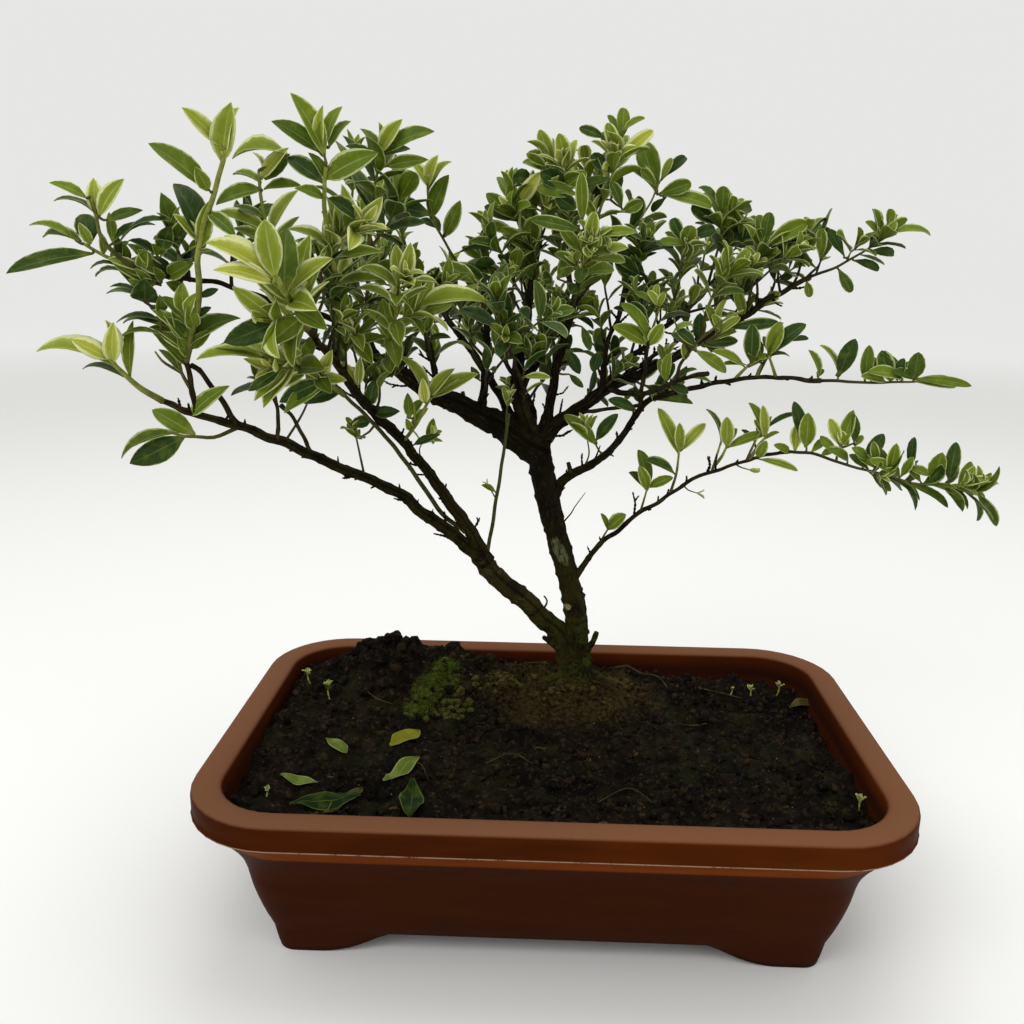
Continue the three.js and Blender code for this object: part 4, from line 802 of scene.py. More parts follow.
class Finish:
    """One procedural material, built from expressions."""

    def __init__(self, name):
        self.material = bpy.data.materials.new(name)
        self.material.use_nodes = True
        self.tree = self.material.node_tree
        self.tree.nodes.clear()
        self.spot = self.node("ShaderNodeTexCoord", {}, output="Object")

    def node(self, kind, settings, *values, output=0, **named):
        """Adds a node; the values go to its first sockets, or to the ones named."""
        node = self.tree.nodes.new(kind)
        for key, setting in settings.items():
            if key == "stops":
                self._stops(node.color_ramp, setting)
            else:
                setattr(node, key, setting)
        sockets = [s for s in node.inputs if s.enabled]
        pairs = list(zip(sockets, values)) + [(node.inputs[k], v) for k, v in named.items()]
        for socket, value in pairs:
            if isinstance(value, Number):
                self.tree.links.new(value.socket, socket)
            elif value is not None:
                if socket.type == "RGBA" and len(value) == 3:
                    value = (*value, 1.0)
                socket.default_value = value
        outputs = [s for s in node.outputs if s.enabled]
        found = outputs[output] if isinstance(output, int) else node.outputs[output]
        return Number(self, found)

    def _stops(self, ramp, stops):
        while len(ramp.elements) < len(stops):
            ramp.elements.new(1.0)
        for element, (place, colour) in zip(ramp.elements, stops):
            element.position = place
            element.color = (*colour, 1.0)

    def mark(self, name):
        """An attribute of the piece, as its three numbers."""
        vector = self.node("ShaderNodeAttribute", {"attribute_name": name}, output="Vector")
        return self.split(vector)

    def split(self, vector):
        """The three numbers of a vector."""
        split = self.tree.nodes.new("ShaderNodeSeparateXYZ")
        self.tree.links.new(vector.socket, split.inputs[0])
        return [Number(self, s) for s in split.outputs]

    def vector(self, x, y, z):
        return self.node("ShaderNodeCombineXYZ", {}, x, y, z)

    def stretched(self, scale):
        """The object coordinates, stretched."""
        return self.node("ShaderNodeMapping", {}, Vector=self.spot, Scale=scale)

    def cloud(self, scale, detail=3.0, rough=0.55, where=None):
        """Noise from 0 to 1 about a half."""
        return self.node("ShaderNodeTexNoise", {}, Vector=where or self.spot, Scale=scale,
                         Detail=detail, Roughness=rough)

    def cells(self, scale, where=None, feature="F1"):
        """Distance from the middle, or the edge, of scattered cells."""
        return self.node("ShaderNodeTexVoronoi", {"feature": feature},
                         Vector=where or self.spot, Scale=scale)

    def blend(self, share, first, second, how="MIX"):
        """A colour between two colours."""
        settings = {"data_type": "RGBA", "blend_type": how}
        return self.node("ShaderNodeMix", settings, share, first, second)

    def finished(self, colour, roughness, height=None, relief=0.0, **fixed):
        """Joins colour, roughness and relief to the surface; other sockets are fixed numbers."""
        shader = self.tree.nodes.new("ShaderNodeBsdfPrincipled")
        links = self.tree.links
        links.new(colour.socket, shader.inputs["Base Color"])
        if isinstance(roughness, Number):
            links.new(roughness.socket, shader.inputs["Roughness"])
        else:
            shader.inputs["Roughness"].default_value = roughness
        if height is not None:
            bump = self.node("ShaderNodeBump", {}, Height=height, Distance=relief, Strength=1.0)
            links.new(bump.socket, shader.inputs["Normal"])
        for name, value in fixed.items():
            shader.inputs[name.replace("_", " ")].default_value = value
        output = self.tree.nodes.new("ShaderNodeOutputMaterial")
        links.new(shader.outputs[0], output.inputs["Surface"])
        return self.material


FINISHES = {}


def finish_named(name, maker, *details):
    """Makes a finish the first time that it is asked for."""
    if name not in FINISHES:
        FINISHES[name] = maker(name, *details)
    return FINISHES[name]


def moulded_plastic(name, colour, dusty):
    """Brown injection-moulded plastic: faint streaks, a pale seam and dust, with painted light: a
    paler rim top for its sheen, a darker band and a shaded inner wall.
    """
    f = Finish(name)
    x, y, z = f.split(f.spot)
    streaks = f.cloud(15.0, 5.0, 0.6, f.stretched((1.0, 1.0, 7.0)))
    broad = f.cloud(7.0, 2.0)
    fine = f.cloud(900.0, 2.0)
    # Painted shade: the band above the seam is painted darker than the wall below it, against the
    # extra light that it catches from above.
    shade = f.blend(z.between(0.0690, 0.0660), colour, linear(0x6C320A))
    shade = f.blend(streaks.between(0.36, 0.66) * 0.40, shade, linear(0x9A8A78), "MULTIPLY")
    shade = f.blend(broad.between(0.45, 0.75) * 0.22, shade, linear(0x74360C))
    lip = z.between(0.0776, 0.0790)
    # Painted highlight: the rim top is painted paler, for its sheen and for the light that it
    # catches from above.
    shade = f.blend(lip * 0.62, shade, linear(0x7F583F))
    worn = f.cloud(120.0, 4.0, 0.7)
    corner_x = (abs(x) - 0.110).most(0.0)
    corner_y = (abs(y) - 0.060).most(0.0)
    outside = (corner_x * corner_x + corner_y * corner_y).between(0.0011, 0.0014)
    seam = abs(z - 0.06868).between(0.00042, 0.00012) * worn.between(0.30, 0.52) * outside
    shade = f.blend(seam * 0.60, shade, linear(0xB39A82))
    foot = (z + broad * 0.01).between(0.026, 0.006)
    shade = f.blend(foot * 0.22, shade, dusty)
    specks = f.cells(420.0).between(0.10, 0.04) * f.cloud(60.0).between(0.52, 0.62)
    shade = f.blend(specks * (lip * 0.6 + 0.1), shade, linear(0x1A0F08))
    scuffs = f.cloud(160.0, 4.0, 0.7, f.stretched((0.25, 1.0, 1.0))).between(0.60, 0.72)
    shade = f.blend(scuffs * lip * 0.30, shade, dusty)
    # Painted shade: the inner wall below the rim is darkened.
    inside = z.between(0.0770, 0.0700) * abs(x).between(0.1395, 0.1375)
    inside = inside * abs(y).between(0.0895, 0.0875)
    shade = f.blend(inside * 0.85, shade, linear(0x241009))
    roughness = 0.38 + broad * 0.12 + lip * 0.08 + foot * 0.12
    return f.finished(shade, roughness, fine * 0.3 + streaks * 0.7, 0.0003,
                      Specular_IOR_Level=0.01)


def damp_soil(name, wet, dry):
    """Dark crumbly soil: damp dark soil, painted black as shade in the gaps between paler dried
    crumbs and bits of fibre.
    """
    f = Finish(name)
    loose = f.mark("tint")[1]
    lumps = f.cells(150.0)
    grains = f.cloud(520.0, 4.0, 0.7)
    patches = f.cloud(38.0, 3.0)
    shade = f.blend(patches.between(0.38, 0.66), wet, linear(0x1E150D))
    shade = f.blend(grains.between(0.50, 0.72) * 0.80, shade, dry)
    # Painted shade: near black is painted in the hollows of the clumps and in the gaps between the
    # lumps.
    clumps = f.cloud(190.0, 4.0, 0.7)
    shade = f.blend(clumps.between(0.56, 0.40) * 0.75, shade, linear(0x050402))
    shade = f.blend(lumps.between(0.30, 0.62) * 0.60, shade, linear(0x060503))
    shade = f.blend(loose.between(0.35, 1.0) * 0.60, shade, linear(0x3A2D1C))
    shade = f.blend(f.cloud(55.0, 3.0).between(0.50, 0.66) * 0.35, shade, linear(0x23240F))
    bits = f.cells(330.0).between(0.13, 0.07) * f.cloud(90.0).between(0.56, 0.64)
    shade = f.blend(bits * 0.75, shade, linear(0x8A7A58))
    threads = f.cloud(240.0, 2.0, 0.5, f.stretched((0.3, 1.0, 1.0))).between(0.70, 0.75)
    shade = f.blend(threads * 0.6, shade, linear(0x5A4630))
    x, y, _ = f.split(f.spot)
    near = (x - 0.010) * (x - 0.010) * 0.45 + (y - 0.048) * (y - 0.048)
    mat = (f.cloud(70.0, 4.0, 0.7) * 0.0016 - near).between(-0.0005, 0.0004)
    shade = f.blend(mat * grains.between(0.35, 0.60) * 0.75, shade, linear(0x3C3214))
    roughness = 0.72 + grains * 0.25
    return f.finished(shade, roughness, grains * 0.4 + clumps * 0.6 - lumps * 0.4, 0.0026,
                      Specular_IOR_Level=0.05)


def rough_bark(name, dark, light):
    """Old flaking bark that turns to smoother, browner and greener skin on thin wood."""
    f = Finish(name)
    turn, run, girth = f.mark("place")
    youth, _, kind = f.mark("tint")
    side = (turn * WHOLE_TURN).sine() * girth
    other = (turn * WHOLE_TURN + QUARTER_TURN).sine() * girth
    cracks = f.cells(640.0, f.vector(side, other, run * 0.45)).between(0.34, 0.66)
    fibres = f.cloud(1000.0, 4.0, 0.65, f.vector(side, other, run * 0.18))
    broad = f.cloud(55.0, 3.0)
    shade = f.blend(fibres.between(0.42, 0.74) * 0.8, dark, light)
    shade = f.blend(cracks * 0.6, shade, linear(0x0A0705))
    shade = f.blend(broad.between(0.52, 0.70) * 0.30, shade, linear(0x3C3421))
    x, y, z = f.split(f.spot)
    film = f.cloud(70.0, 3.0, 0.6)
    algae = film.between(0.34, 0.60) * (z + x * 0.25).between(0.230, 0.110)
    shade = f.blend(algae * 0.55, shade, linear(0x3A3612))
    mossy = f.cloud(95.0, 4.0, 0.7).between(0.46, 0.60) * z.between(0.150, 0.075)
    shade = f.blend(mossy * 0.60, shade, linear(0x39420F))
    crust = f.cloud(120.0, 3.0, 0.6).between(0.66, 0.70) * girth.between(0.003, 0.0048)
    crust = crust * fibres.between(0.25, 0.5) * f.cloud(420.0, 3.0, 0.7).between(0.44, 0.58)
    shade = f.blend(crust * 0.45, shade, linear(0x5E624A))
    # Painted shade: the thick upper trunk is darkened where the crown shades it.
    upper = z.between(0.100, 0.150) * girth.between(0.0045, 0.0060)
    shade = f.blend(upper * 0.45, shade, linear(0x0B0A04))
    high = z - 0.1488
    aside = x - 0.0031 + high * 0.4
    front = y.between(0.0530, 0.0500)
    spot = aside * aside * 5.0 + high * high
    patch = (f.cloud(300.0, 3.0, 0.6) * 0.00009 + 0.000012 - spot).between(-0.00001, 0.00002)
    shade = f.blend(patch * front * fibres.between(0.30, 0.62) * 0.85, shade, linear(0x646848))
    scar_x = x - 0.0075
    scar_z = z - 0.1187
    scar = (scar_x * scar_x + scar_z * scar_z).between(0.0000046, 0.0000028) * front
    shade = f.blend(scar * 0.9, shade, linear(0x9A8C68))
    skin = f.blend(f.cloud(140.0).between(0.4, 0.65), linear(0x33291A), linear(0x484022))
    shade = f.blend(youth.between(0.2, 0.7), shade, skin)
    shade = f.blend(kind, shade, f.blend(fibres, linear(0x4B4A22), linear(0x3A4322)))
    roughness = 0.80 + fibres * 0.18
    height = (fibres * 0.5 - cracks * 0.8) * (1.0 - youth * 0.6) + mossy * 0.3
    return f.finished(shade, roughness, height, 0.0009, Specular_IOR_Level=0.05)


def serissa_leaf(name, dark, mature, young, cream):
    """Variegated leaves: green blade, thin cream margin, paler and softer while young."""
    f = Finish(name)
    across, share, _ = f.mark("place")
    youth, chance, kind = f.mark("tint")
    side = abs(across)
    wander = f.cloud(380.0, 2.0) - 0.5
    edge = side + wander * 0.25
    width = 0.930 - youth * youth * 0.30 - chance * chance * 0.16
    margin = (edge - width).between(-0.03, 0.06)
    green = f.blend(youth.between(0.05, 0.5), dark, mature)
    green = f.blend(youth.between(0.45, 1.0), green, young)
    tint = f.blend(chance, linear(0xD4D8B2), linear(0xFFFFD0))
    green = f.blend(0.6, green, tint, "MULTIPLY")
    mottle = f.cloud(240.0, 3.0).between(0.48, 0.72)
    green = f.blend(mottle * (0.10 + youth * 0.35), green, linear(0x8C9A30))
    veins = (share * 40.0 - side * 9.0).sine().between(0.75, 1.0) * side.between(0.02, 0.2)
    green = f.blend(veins * 0.04, green, linear(0x9DAC55))
    milky = (side + wander * 0.7).between(0.28, 0.90) * youth.between(0.50, 0.90)
    green = f.blend(milky * 0.75, green, linear(0xB7BD70))
    rib = side.between(0.11, 0.02) * (1.0 - share * 0.6)
    pale = f.blend(youth.between(0.0, 0.7), linear(0x8E9A5A), cream)
    shade = f.blend(rib * (0.15 + youth * 0.30 + chance * 0.2), green, pale)
    shade = f.blend(margin * (0.62 + chance * 0.35), shade, pale)
    base = share.between(0.22, 0.02)
    shade = f.blend(base * (0.25 + youth * 0.45), shade, linear(0x98A045))
    bark = f.blend(youth.between(0.10, 0.40), linear(0x271F13), linear(0x4A471F))
    bark = f.blend(youth.between(0.35, 0.80), bark, linear(0x858B3C))
    bark = f.blend(f.cloud(600.0, 3.0).between(0.4, 0.7) * 0.3, bark, linear(0x302814))
    shade = f.blend(kind, shade, bark)
    roughness = 0.50 + wander * 0.2 + youth * 0.10 + kind * 0.25
    height = (1.0 - rib) * 0.6 - veins * 0.2 + wander * 0.3
    return f.finished(shade, roughness, height, 0.00015, Specular_IOR_Level=0.14)


def soft_moss(name, green, brown):
    """Moss: bright tips over a darker mat, the darkness partly painted shade, brown where it is
    dry.
    """
    f = Finish(name)
    fresh, chance, _ = f.mark("tint")
    # Partly painted shade: each tuft and mound goes from near black low down to bright at the top,
    # partly the mat's own darker colour and partly shade.
    tip = f.mark("place")[1].between(0.1, 0.9)
    live = f.blend(tip, linear(0x131A04), green)
    live = f.blend(chance * tip * 0.4, live, linear(0x6E7C1E))
    dead = f.blend(tip, linear(0x18110A), brown)
    shade = f.blend(fresh, dead, live)
    roughness = 0.85 + chance * 0.1
    return f.finished(shade, roughness, f.cloud(900.0, 3.0), 0.0005, Specular_IOR_Level=0.1)


def dropped_leaf(name, blade, rim):
    """A leaf that has lain on the soil: paler margin, spots and a dry midrib."""
    f = Finish(name)
    side = abs(f.mark("place")[0])
    wander = f.cloud(300.0, 3.0) - 0.5
    shade = f.blend(f.cloud(130.0, 3.0).between(0.45, 0.70) * 0.35, blade, rim)
    spots = f.cells(260.0).between(0.10, 0.04) * f.cloud(80.0).between(0.54, 0.62)
    shade = f.blend((side + wander * 0.35).between(0.84, 0.93) * 0.8, shade, rim)
    shade = f.blend(side.between(0.07, 0.02) * 0.6, shade, rim)
    shade = f.blend(spots * 0.6, shade, linear(0x4E3418))
    roughness = 0.48 + wander * 0.3
    return f.finished(shade, roughness, wander - side.between(0.1, 0.0), 0.0003,
                      Specular_IOR_Level=0.04)


def plain_surface(name, colour):
    """The floor: pale, matt and almost even."""
    f = Finish(name)
    x, y, _ = f.split(f.spot)
    far = (x * x + y * y).between(1.5, 12.0)
    shade = f.blend(f.cloud(3.0, 2.0) * 0.05, colour, linear(0xE2E2E0))
    shade = f.blend(far, shade, linear(0xFFFFFF))
    return f.finished(shade, 0.9, Specular_IOR_Level=0.1)


# ---- Making pieces ---------------------------------------------------------------------------

def add_piece(name, mesh, finish, slot, nodes=()):
    """Puts a finished mesh into the scene as a piece that rides on the plant."""
    piece = bpy.data.objects.new(name, mesh)
    bpy.context.scene.collection.objects.link(piece)
    piece.data.materials.append(finish)
    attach(piece, "root")
    if nodes:
        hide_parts(*nodes)
    return piece


def mesh_from(shape, name):
    """A mesh made from a shape that isn't needed any more."""
    mesh = bpy.data.meshes.new(name)
    shape.to_mesh(mesh)
    shape.free()
    return mesh


def is_vertex(element):
    return isinstance(element, bmesh.types.BMVert)


def is_edge(element):
    return isinstance(element, bmesh.types.BMEdge)


def is_face(element):
    return isinstance(element, bmesh.types.BMFace)


class Template:
    """A small shape made once and copied many times; spots are its points before shaping."""

    made = {}

    def __init__(self, shape):
        self.mesh = mesh_from(shape, "template")
        flat = np.empty(len(self.mesh.vertices) * 3, dtype=np.float32)
        self.mesh.vertices.foreach_get("co", flat)
        self.spots = flat.reshape(-1, 3).astype(float)

    @classmethod
    def named(cls, key, maker, *details):
        if key not in cls.made:
            cls.made[key] = cls(maker(*details))
        return cls.made[key]


def tube_shape(sides, rings):
    """A capped tube of radius 1, with a ring of edges at each whole number of its height."""
    shape = bmesh.new()
    bmesh.ops.create_circle(shape, cap_ends=True, segments=sides, radius=1)
    end = shape.faces[:]
    for ring in range(rings):
        grown = bmesh.ops.extrude_face_region(shape, geom=end, use_keep_orig=ring == 0)["geom"]
        bmesh.ops.translate(shape, vec=UP, verts=[g for g in grown if is_vertex(g)])
        end = [g for g in grown if is_face(g)]
    bmesh.ops.recalc_face_normals(shape, faces=shape.faces[:])
    return shape


def blade_shape(columns, rows):
    """A flat strip with a little thickness: x across, y along, z through it."""
    shape = bmesh.new()
    bmesh.ops.create_grid(shape, x_segments=columns, y_segments=rows, size=0.5)
    bmesh.ops.solidify(shape, geom=shape.faces[:], thickness=0.1)
    bmesh.ops.recalc_face_normals(shape, faces=shape.faces[:])
    return shape


def lump_shape(divisions):
    shape = bmesh.new()
    bmesh.ops.create_icosphere(shape, subdivisions=divisions, radius=1)
    return shape


def tuft_shape():
    """A short curved spike of moss, along z."""
    shape = bmesh.new()
    bmesh.ops.create_cone(shape, cap_ends=True, segments=4, radius1=1, radius2=0.12, depth=1)
    bmesh.ops.translate(shape, vec=(0, 0, 0.5), verts=shape.verts[:])
    bmesh.ops.recalc_face_normals(shape, faces=shape.faces[:])
    return shape


class Gathering:
    """Gathers shaped copies of templates into one mesh, with two marks on every point."""

    def __init__(self):
        self.shape = bmesh.new()
        self.points = []
        self.places = []
        self.tints = []

    def add(self, template, points, places, tint):
        self.shape.from_mesh(template.mesh)
        self.points.append(points)
        self.places.append(places)
        self.tints.append(np.broadcast_to(np.array(tint, dtype=float), (len(points), 3)))

    def mesh(self, name):
        mesh = mesh_from(self.shape, name)
        flat = np.concatenate(self.points).astype(np.float32)
        mesh.vertices.foreach_set("co", flat.ravel())
        for label, rows in (("place", self.places), ("tint", self.tints)):
            layer = mesh.attributes.new(label, "FLOAT_VECTOR", "POINT")
            layer.data.foreach_set("vector", np.concatenate(rows).astype(np.float32).ravel())
        mesh.shade_smooth()
        mesh.update()
        return mesh


# ---- Routes ----------------------------------------------------------------------------------

def evenly(points, step):
    """The same line, with its points about one step apart."""
    lengths = [0.0]
    for a, b in zip(points, points[1:]):
        lengths.append(lengths[-1] + (b - a).length)
    count = max(2, round(lengths[-1] / step))
    even = []
    place = 0
    for k in range(count + 1):
        want = lengths[-1] * k / count
        while place < len(points) - 2 and lengths[place + 1] < want:
            place += 1
        part = (want - lengths[place]) / max(1e-9, lengths[place + 1] - lengths[place])
        even.append(points[place].lerp(points[place + 1], min(1.0, part)))
    return even


def smooth_route(points, step):
    """Even points, in metres, on a smooth curve through millimetre points."""
    knots = [Vector(p) * MM for p in points]
    knots = [2 * knots[0] - knots[1], *knots, 2 * knots[-1] - knots[-2]]
    line = []
    for a, b, c, d in zip(knots, knots[1:], knots[2:], knots[3:]):
        for k in range(12):
            t = k / 12
            line.append(0.5 * (2 * b + (c - a) * t + (2 * a - 5 * b + 4 * c - d) * t * t
                               + (3 * b - a - 3 * c + d) * t ** 3))
    line.append(knots[-2].copy())
    return evenly(line, step)


class Frames:
    """Directions along a route: ahead, and two square to it that don't spin round it."""

    def __init__(self, route):
        self.route = route
        self.step = (route[1] - route[0]).length
        self.length = self.step * (len(route) - 1)
        ahead = [(route[min(i + 1, len(route) - 1)] - route[max(i - 1, 0)]).normalized()
                 for i in range(len(route))]
        first = ahead[0].cross(UP)
        if first.length < 0.05:
            first = Vector((1, 0, 0))
        side = first.normalized()
        self.ahead = ahead
        self.side = []
        for i, way in enumerate(ahead):
            if i:
                side = ahead[i - 1].rotation_difference(way) @ side
            side = (side - way * side.dot(way)).normalized()
            self.side.append(side)
        self.other = [a.cross(s) for a, s in zip(self.ahead, self.side)]

    def at(self, run):
        """The point, the way ahead and the two side directions at a distance along."""
        place = max(0.0, min(len(self.route) - 1.001, run / self.step))
        i = int(place)
        part = place - i
        return (self.route[i].lerp(self.route[i + 1], part),
                self.ahead[i].lerp(self.ahead[i + 1], part).normalized(),
                self.side[i].lerp(self.side[i + 1], part).normalized(),
                self.other[i].lerp(self.other[i + 1], part).normalized())


def add_tube(gathering, frames, radii, sides, tint, relief=None):
    """Adds a tapering tube along a route; relief(turn, run, radius) may roughen its skin.

    The first of the three tints, the youth, is a pair: at the start and at the end.
    """
    rings = len(frames.route) - 1
    template = Template.named(("tube", sides, rings), tube_shape, sides, rings)
    ring = np.rint(template.spots[:, 2]).astype(int)
    turn = np.arctan2(template.spots[:, 1], template.spots[:, 0])
    centres = np.array(frames.route)[ring]
    side = np.array(frames.side)[ring]
    other = np.array(frames.other)[ring]
    radius = np.array(radii)[ring]
    out = side * np.cos(turn)[:, None] + other * np.sin(turn)[:, None]
    run = ring * frames.step
    skin = radius
    if relief:
        skin = radius + np.array([relief(t, s, r) for t, s, r in zip(turn, run, radius)])
    places = np.stack([turn / (2 * math.pi), run, radius], axis=1)
    (start, end), chance, kind = tint
    tints = np.stack([start + (end - start) * ring / rings, ring * 0 + chance, ring * 0 + kind],
                     axis=1)
    gathering.add(template, centres + out * skin[:, None], places, tints)


def spread_radii(radii, count):
    """The radii, shared out along a number of rings, in metres."""
    stops = np.linspace(0, 1, len(radii))
    return np.interp(np.linspace(0, 1, count), stops, np.array(radii, dtype=float) * MM)


# ---- Tray ------------------------------------------------------------------------------------

def rounded_oblong(settings, inset, corner_steps, long_steps, short_steps):
    """Points of the tray's outline at a distance in from the rim's edge, all the way round."""
    radius = max(settings.tight_corner, settings.corner - inset)
    half_x = settings.length / 2 - inset - radius
    half_y = settings.width / 2 - inset - radius
    points = []
    sides = [((1, -1), (1, 1), short_steps), ((1, 1), (-1, 1), long_steps),
             ((-1, 1), (-1, -1), short_steps), ((-1, -1), (1, -1), long_steps)]
    for corner, (start, end, steps) in enumerate(sides):
        turn = corner * math.pi / 2
        out = Vector((math.cos(turn), math.sin(turn))) * radius
        a = Vector((start[0] * half_x, start[1] * half_y)) + out
        b = Vector((end[0] * half_x, end[1] * half_y)) + out
        points += [a.lerp(b, k / steps) for k in range(steps)]
        middle = Vector((end[0] * half_x, end[1] * half_y))
        for k in range(corner_steps):
            angle = turn + (k / corner_steps) * math.pi / 2
            points.append(middle + Vector((math.cos(angle), math.sin(angle))) * radius)
    return points


def arch_height(distance, foot, crown):
    """Height of the arch between two feet, at a distance from the middle of the side."""
    knots = [(foot, 0.0), (foot - 20, 1.5), (crown + 14, UNDERSIDE), (crown, UNDERSIDE)]
    if distance >= foot:
        return 0.0
    if distance <= crown:
        return UNDERSIDE
    before, after = 0.0, 1.0
    for _ in range(24):
        t = (before + after) / 2
        weights = ((1 - t) ** 3, 3 * t * (1 - t) ** 2, 3 * t * t * (1 - t), t ** 3)
        if sum(w * k[0] for w, k in zip(weights, knots)) > distance:
            before = t
        else:
            after = t
    return sum(w * k[1] for w, k in zip(weights, knots))


def underside_height(x, y):
    return max(arch_height(abs(x) / MM, *LONG_ARCH), arch_height(abs(y) / MM, *SHORT_ARCH)) * MM


def wall_rings(knots, steps):
    """Heights and insets along a smooth wall, in metres."""
    length = sum((Vector((*b, 0)) - Vector((*a, 0))).length for a, b in zip(knots, knots[1:]))
    line = smooth_route([(height, inset, 0) for height, inset in knots], length * MM / steps)
    return [(p.x, p.y) for p in line]


def tray_shape(settings):
    """The whole tray: outer wall, rim, inner wall, floor and the arched underside."""

    def outline(inset):
        return rounded_oblong(settings, inset, *OUTLINE_STEPS)

    top = settings.height
    band = top - settings.band
    body = wall_rings(OUTER_WALL, 16)
    rings = []

    def ring(height, inset):
        rings.append([Vector((p.x, p.y, height)) for p in outline(inset)])

    foot = outline(FOOT_INSET * MM)
    low = [Vector((p.x, p.y, underside_height(p.x, p.y))) for p in foot]
    rings.append(low)
    for share in (0.3, 0.65):
        inset = (FOOT_INSET - FOOT_FLARE * share) * MM
        level = [Vector((p.x, p.y, 0)) for p in outline(inset)]
        for v, b in zip(level, low):
            v.z = b.z + (FOOT_HEIGHT * MM - b.z) * share
        rings.append(level)
    for height, inset in body[::-1]:
        ring(height, inset)
    seam = settings.seam
    for height, inset in [(band - 0.6 * MM, 2.2 * MM), (band - 0.1 * MM, 0.9 * MM),
                          (band + 0.1 * MM, 0.1 * MM - seam), (band + 0.55 * MM, -seam),
                          (band + 0.8 * MM, 0.1 * MM), (band + 4 * MM, 0.05 * MM),
                          (top - 2.6 * MM, 0), (top - 1.3 * MM, 0.12 * MM),
                          (top - 0.5 * MM, 0.5 * MM), (top - 0.12 * MM, 1.2 * MM),
                          (top, 2.2 * MM), (top - 0.1 * MM, 6 * MM), (top - 0.25 * MM, 10.5 * MM),
                          (top - 0.5 * MM, 11.8 * MM), (top - 1.2 * MM, 12.6 * MM)]:
        ring(height, inset)
    for height, inset in wall_rings(INNER_WALL, 9):
        ring(height, inset)
    for inset in (FLOOR_EDGE, *FLOOR_RINGS):
        ring(TRAY_FLOOR * MM, inset * MM)
    under = []
    for inset in UNDER_RINGS:
        under.append([Vector((p.x, p.y, underside_height(p.x, p.y)))
                      for p in outline(inset * MM)])

    shape = bmesh.new()
    count = len(rings[0])
    bmesh.ops.create_circle(shape, segments=count, radius=1)
    shape.verts.ensure_lookup_table()
    first = shape.verts[:]
    for vertex, point in zip(first, rings[0]):
        vertex.co = point
    edges = shape.edges[:]

    def carry_on(edges, start, rounds):
        """Draws the open edge through each ring in turn, and closes it at the last."""
        here = start
        for points in rounds:
            grown = bmesh.ops.extrude_edge_only(shape, edges=edges)["geom"]
            fresh = [g for g in grown if is_vertex(g)]
            edges = [g for g in grown if is_edge(g)]
            owner = {v: k for k, v in enumerate(here)}
            following = [None] * len(here)
            for vertex in fresh:
                for edge in vertex.link_edges:
                    other = edge.other_vert(vertex)
                    if other in owner:
                        following[owner[other]] = vertex
            for vertex, point in zip(following, points):
                vertex.co = point
            here = following
        bmesh.ops.contextual_create(shape, geom=here)

    carry_on(edges, first, rings[1:])
    carry_on(edges, first, under)
    bmesh.ops.recalc_face_normals(shape, faces=shape.faces[:])
    return shape


def drilled(mesh, radius):
    """The tray with its four drain holes cut through the floor."""
    body = bpy.data.objects.new("drilled", mesh)
    bits = bmesh.new()
    for x, y in DRAIN_PLACES:
        middle = Matrix.Translation((x * MM, y * MM, UNDERSIDE * MM))
        bmesh.ops.create_cone(bits, cap_ends=True, segments=32, radius1=radius,
                              radius2=radius, depth=0.03, matrix=middle)
    drill_mesh = mesh_from(bits, "drill")
    drill = bpy.data.objects.new("drill", drill_mesh)
    for thing in (body, drill):
        bpy.context.scene.collection.objects.link(thing)
    cut = body.modifiers.new("holes", "BOOLEAN")
    cut.operation = "DIFFERENCE"
    cut.solver = "EXACT"
    cut.object = drill
    graph = bpy.context.evaluated_depsgraph_get()
    done = bpy.data.meshes.new_from_object(body.evaluated_get(graph))
    for thing in (body, drill):
        bpy.data.objects.remove(thing)
    bpy.data.meshes.remove(drill_mesh)
    bpy.data.meshes.remove(mesh)
    done.name = "bonsai_tray"
    return done


# ---- Soil and moss ---------------------------------------------------------------------------

def heaped(height, heaps, x, y):
    """A height with some heaps added to it, all in millimetres."""
    for mid_x, mid_y, wide_x, wide_y, rise in heaps:
        height += rise * math.exp(-((x - mid_x) / wide_x) ** 2 - ((y - mid_y) / wide_y) ** 2)
    return height


def on_soil(x, y):
    """Height of the smooth soil at a point in millimetres."""
    height = heaped(SOIL_LEVEL, SOIL_HEAPS, x, y)
    for wave_x, wave_y, rise in SOIL_LUMPS:
        height += rise * math.sin(wave_x * x + wave_y * y) * math.cos(wave_y * x - wave_x * y)
    return height


def crumbled(x, y):
    """Height of the soil with its lumps and crumbs, all in millimetres."""
    spot = Vector((x, y, 0))
    height = heaped(on_soil(x, y), LOOSE_HEAPS, x, y)
    height += 2.4 * noise.noise(spot * 0.06)
    big = noise.voronoi(spot * 0.085 + Vector((3, 1, 0)))[0][0]
    small = noise.voronoi(spot * 0.22 + Vector((7, 2, 0)))[0][0]
    height += 3.0 * (0.45 - big) + 2.2 * (0.4 - small)
    height += 0.9 * noise.noise(spot * 0.9) + 0.5 * noise.noise(spot * 2.3)
    return height


def inner_gap(x, y, settings):
    """How far a point, in millimetres, is inside the tray's inner wall at the soil's level."""
    half_x = settings.length / MM / 2 - SOIL_INSET
    half_y = settings.width / MM / 2 - SOIL_INSET
    radius = settings.corner / MM - SOIL_INSET
    dx = abs(x) - (half_x - radius)
    dy = abs(y) - (half_y - radius)
    if dx > 0 and dy > 0:
        return radius - math.hypot(dx, dy)
    return min(half_x - abs(x), half_y - abs(y))


def heap_limit(gap):
    """How high loose soil may lie, in millimetres, some way in from the inner wall."""
    return HEAP_EDGE + HEAP_SLOPE * max(0.0, gap)


def loose_top(x, y, tray):
    """Height that a crumb lies at, kept under the rim near the wall."""
    return min(crumbled(x, y), heap_limit(inner_gap(x, y, tray)))


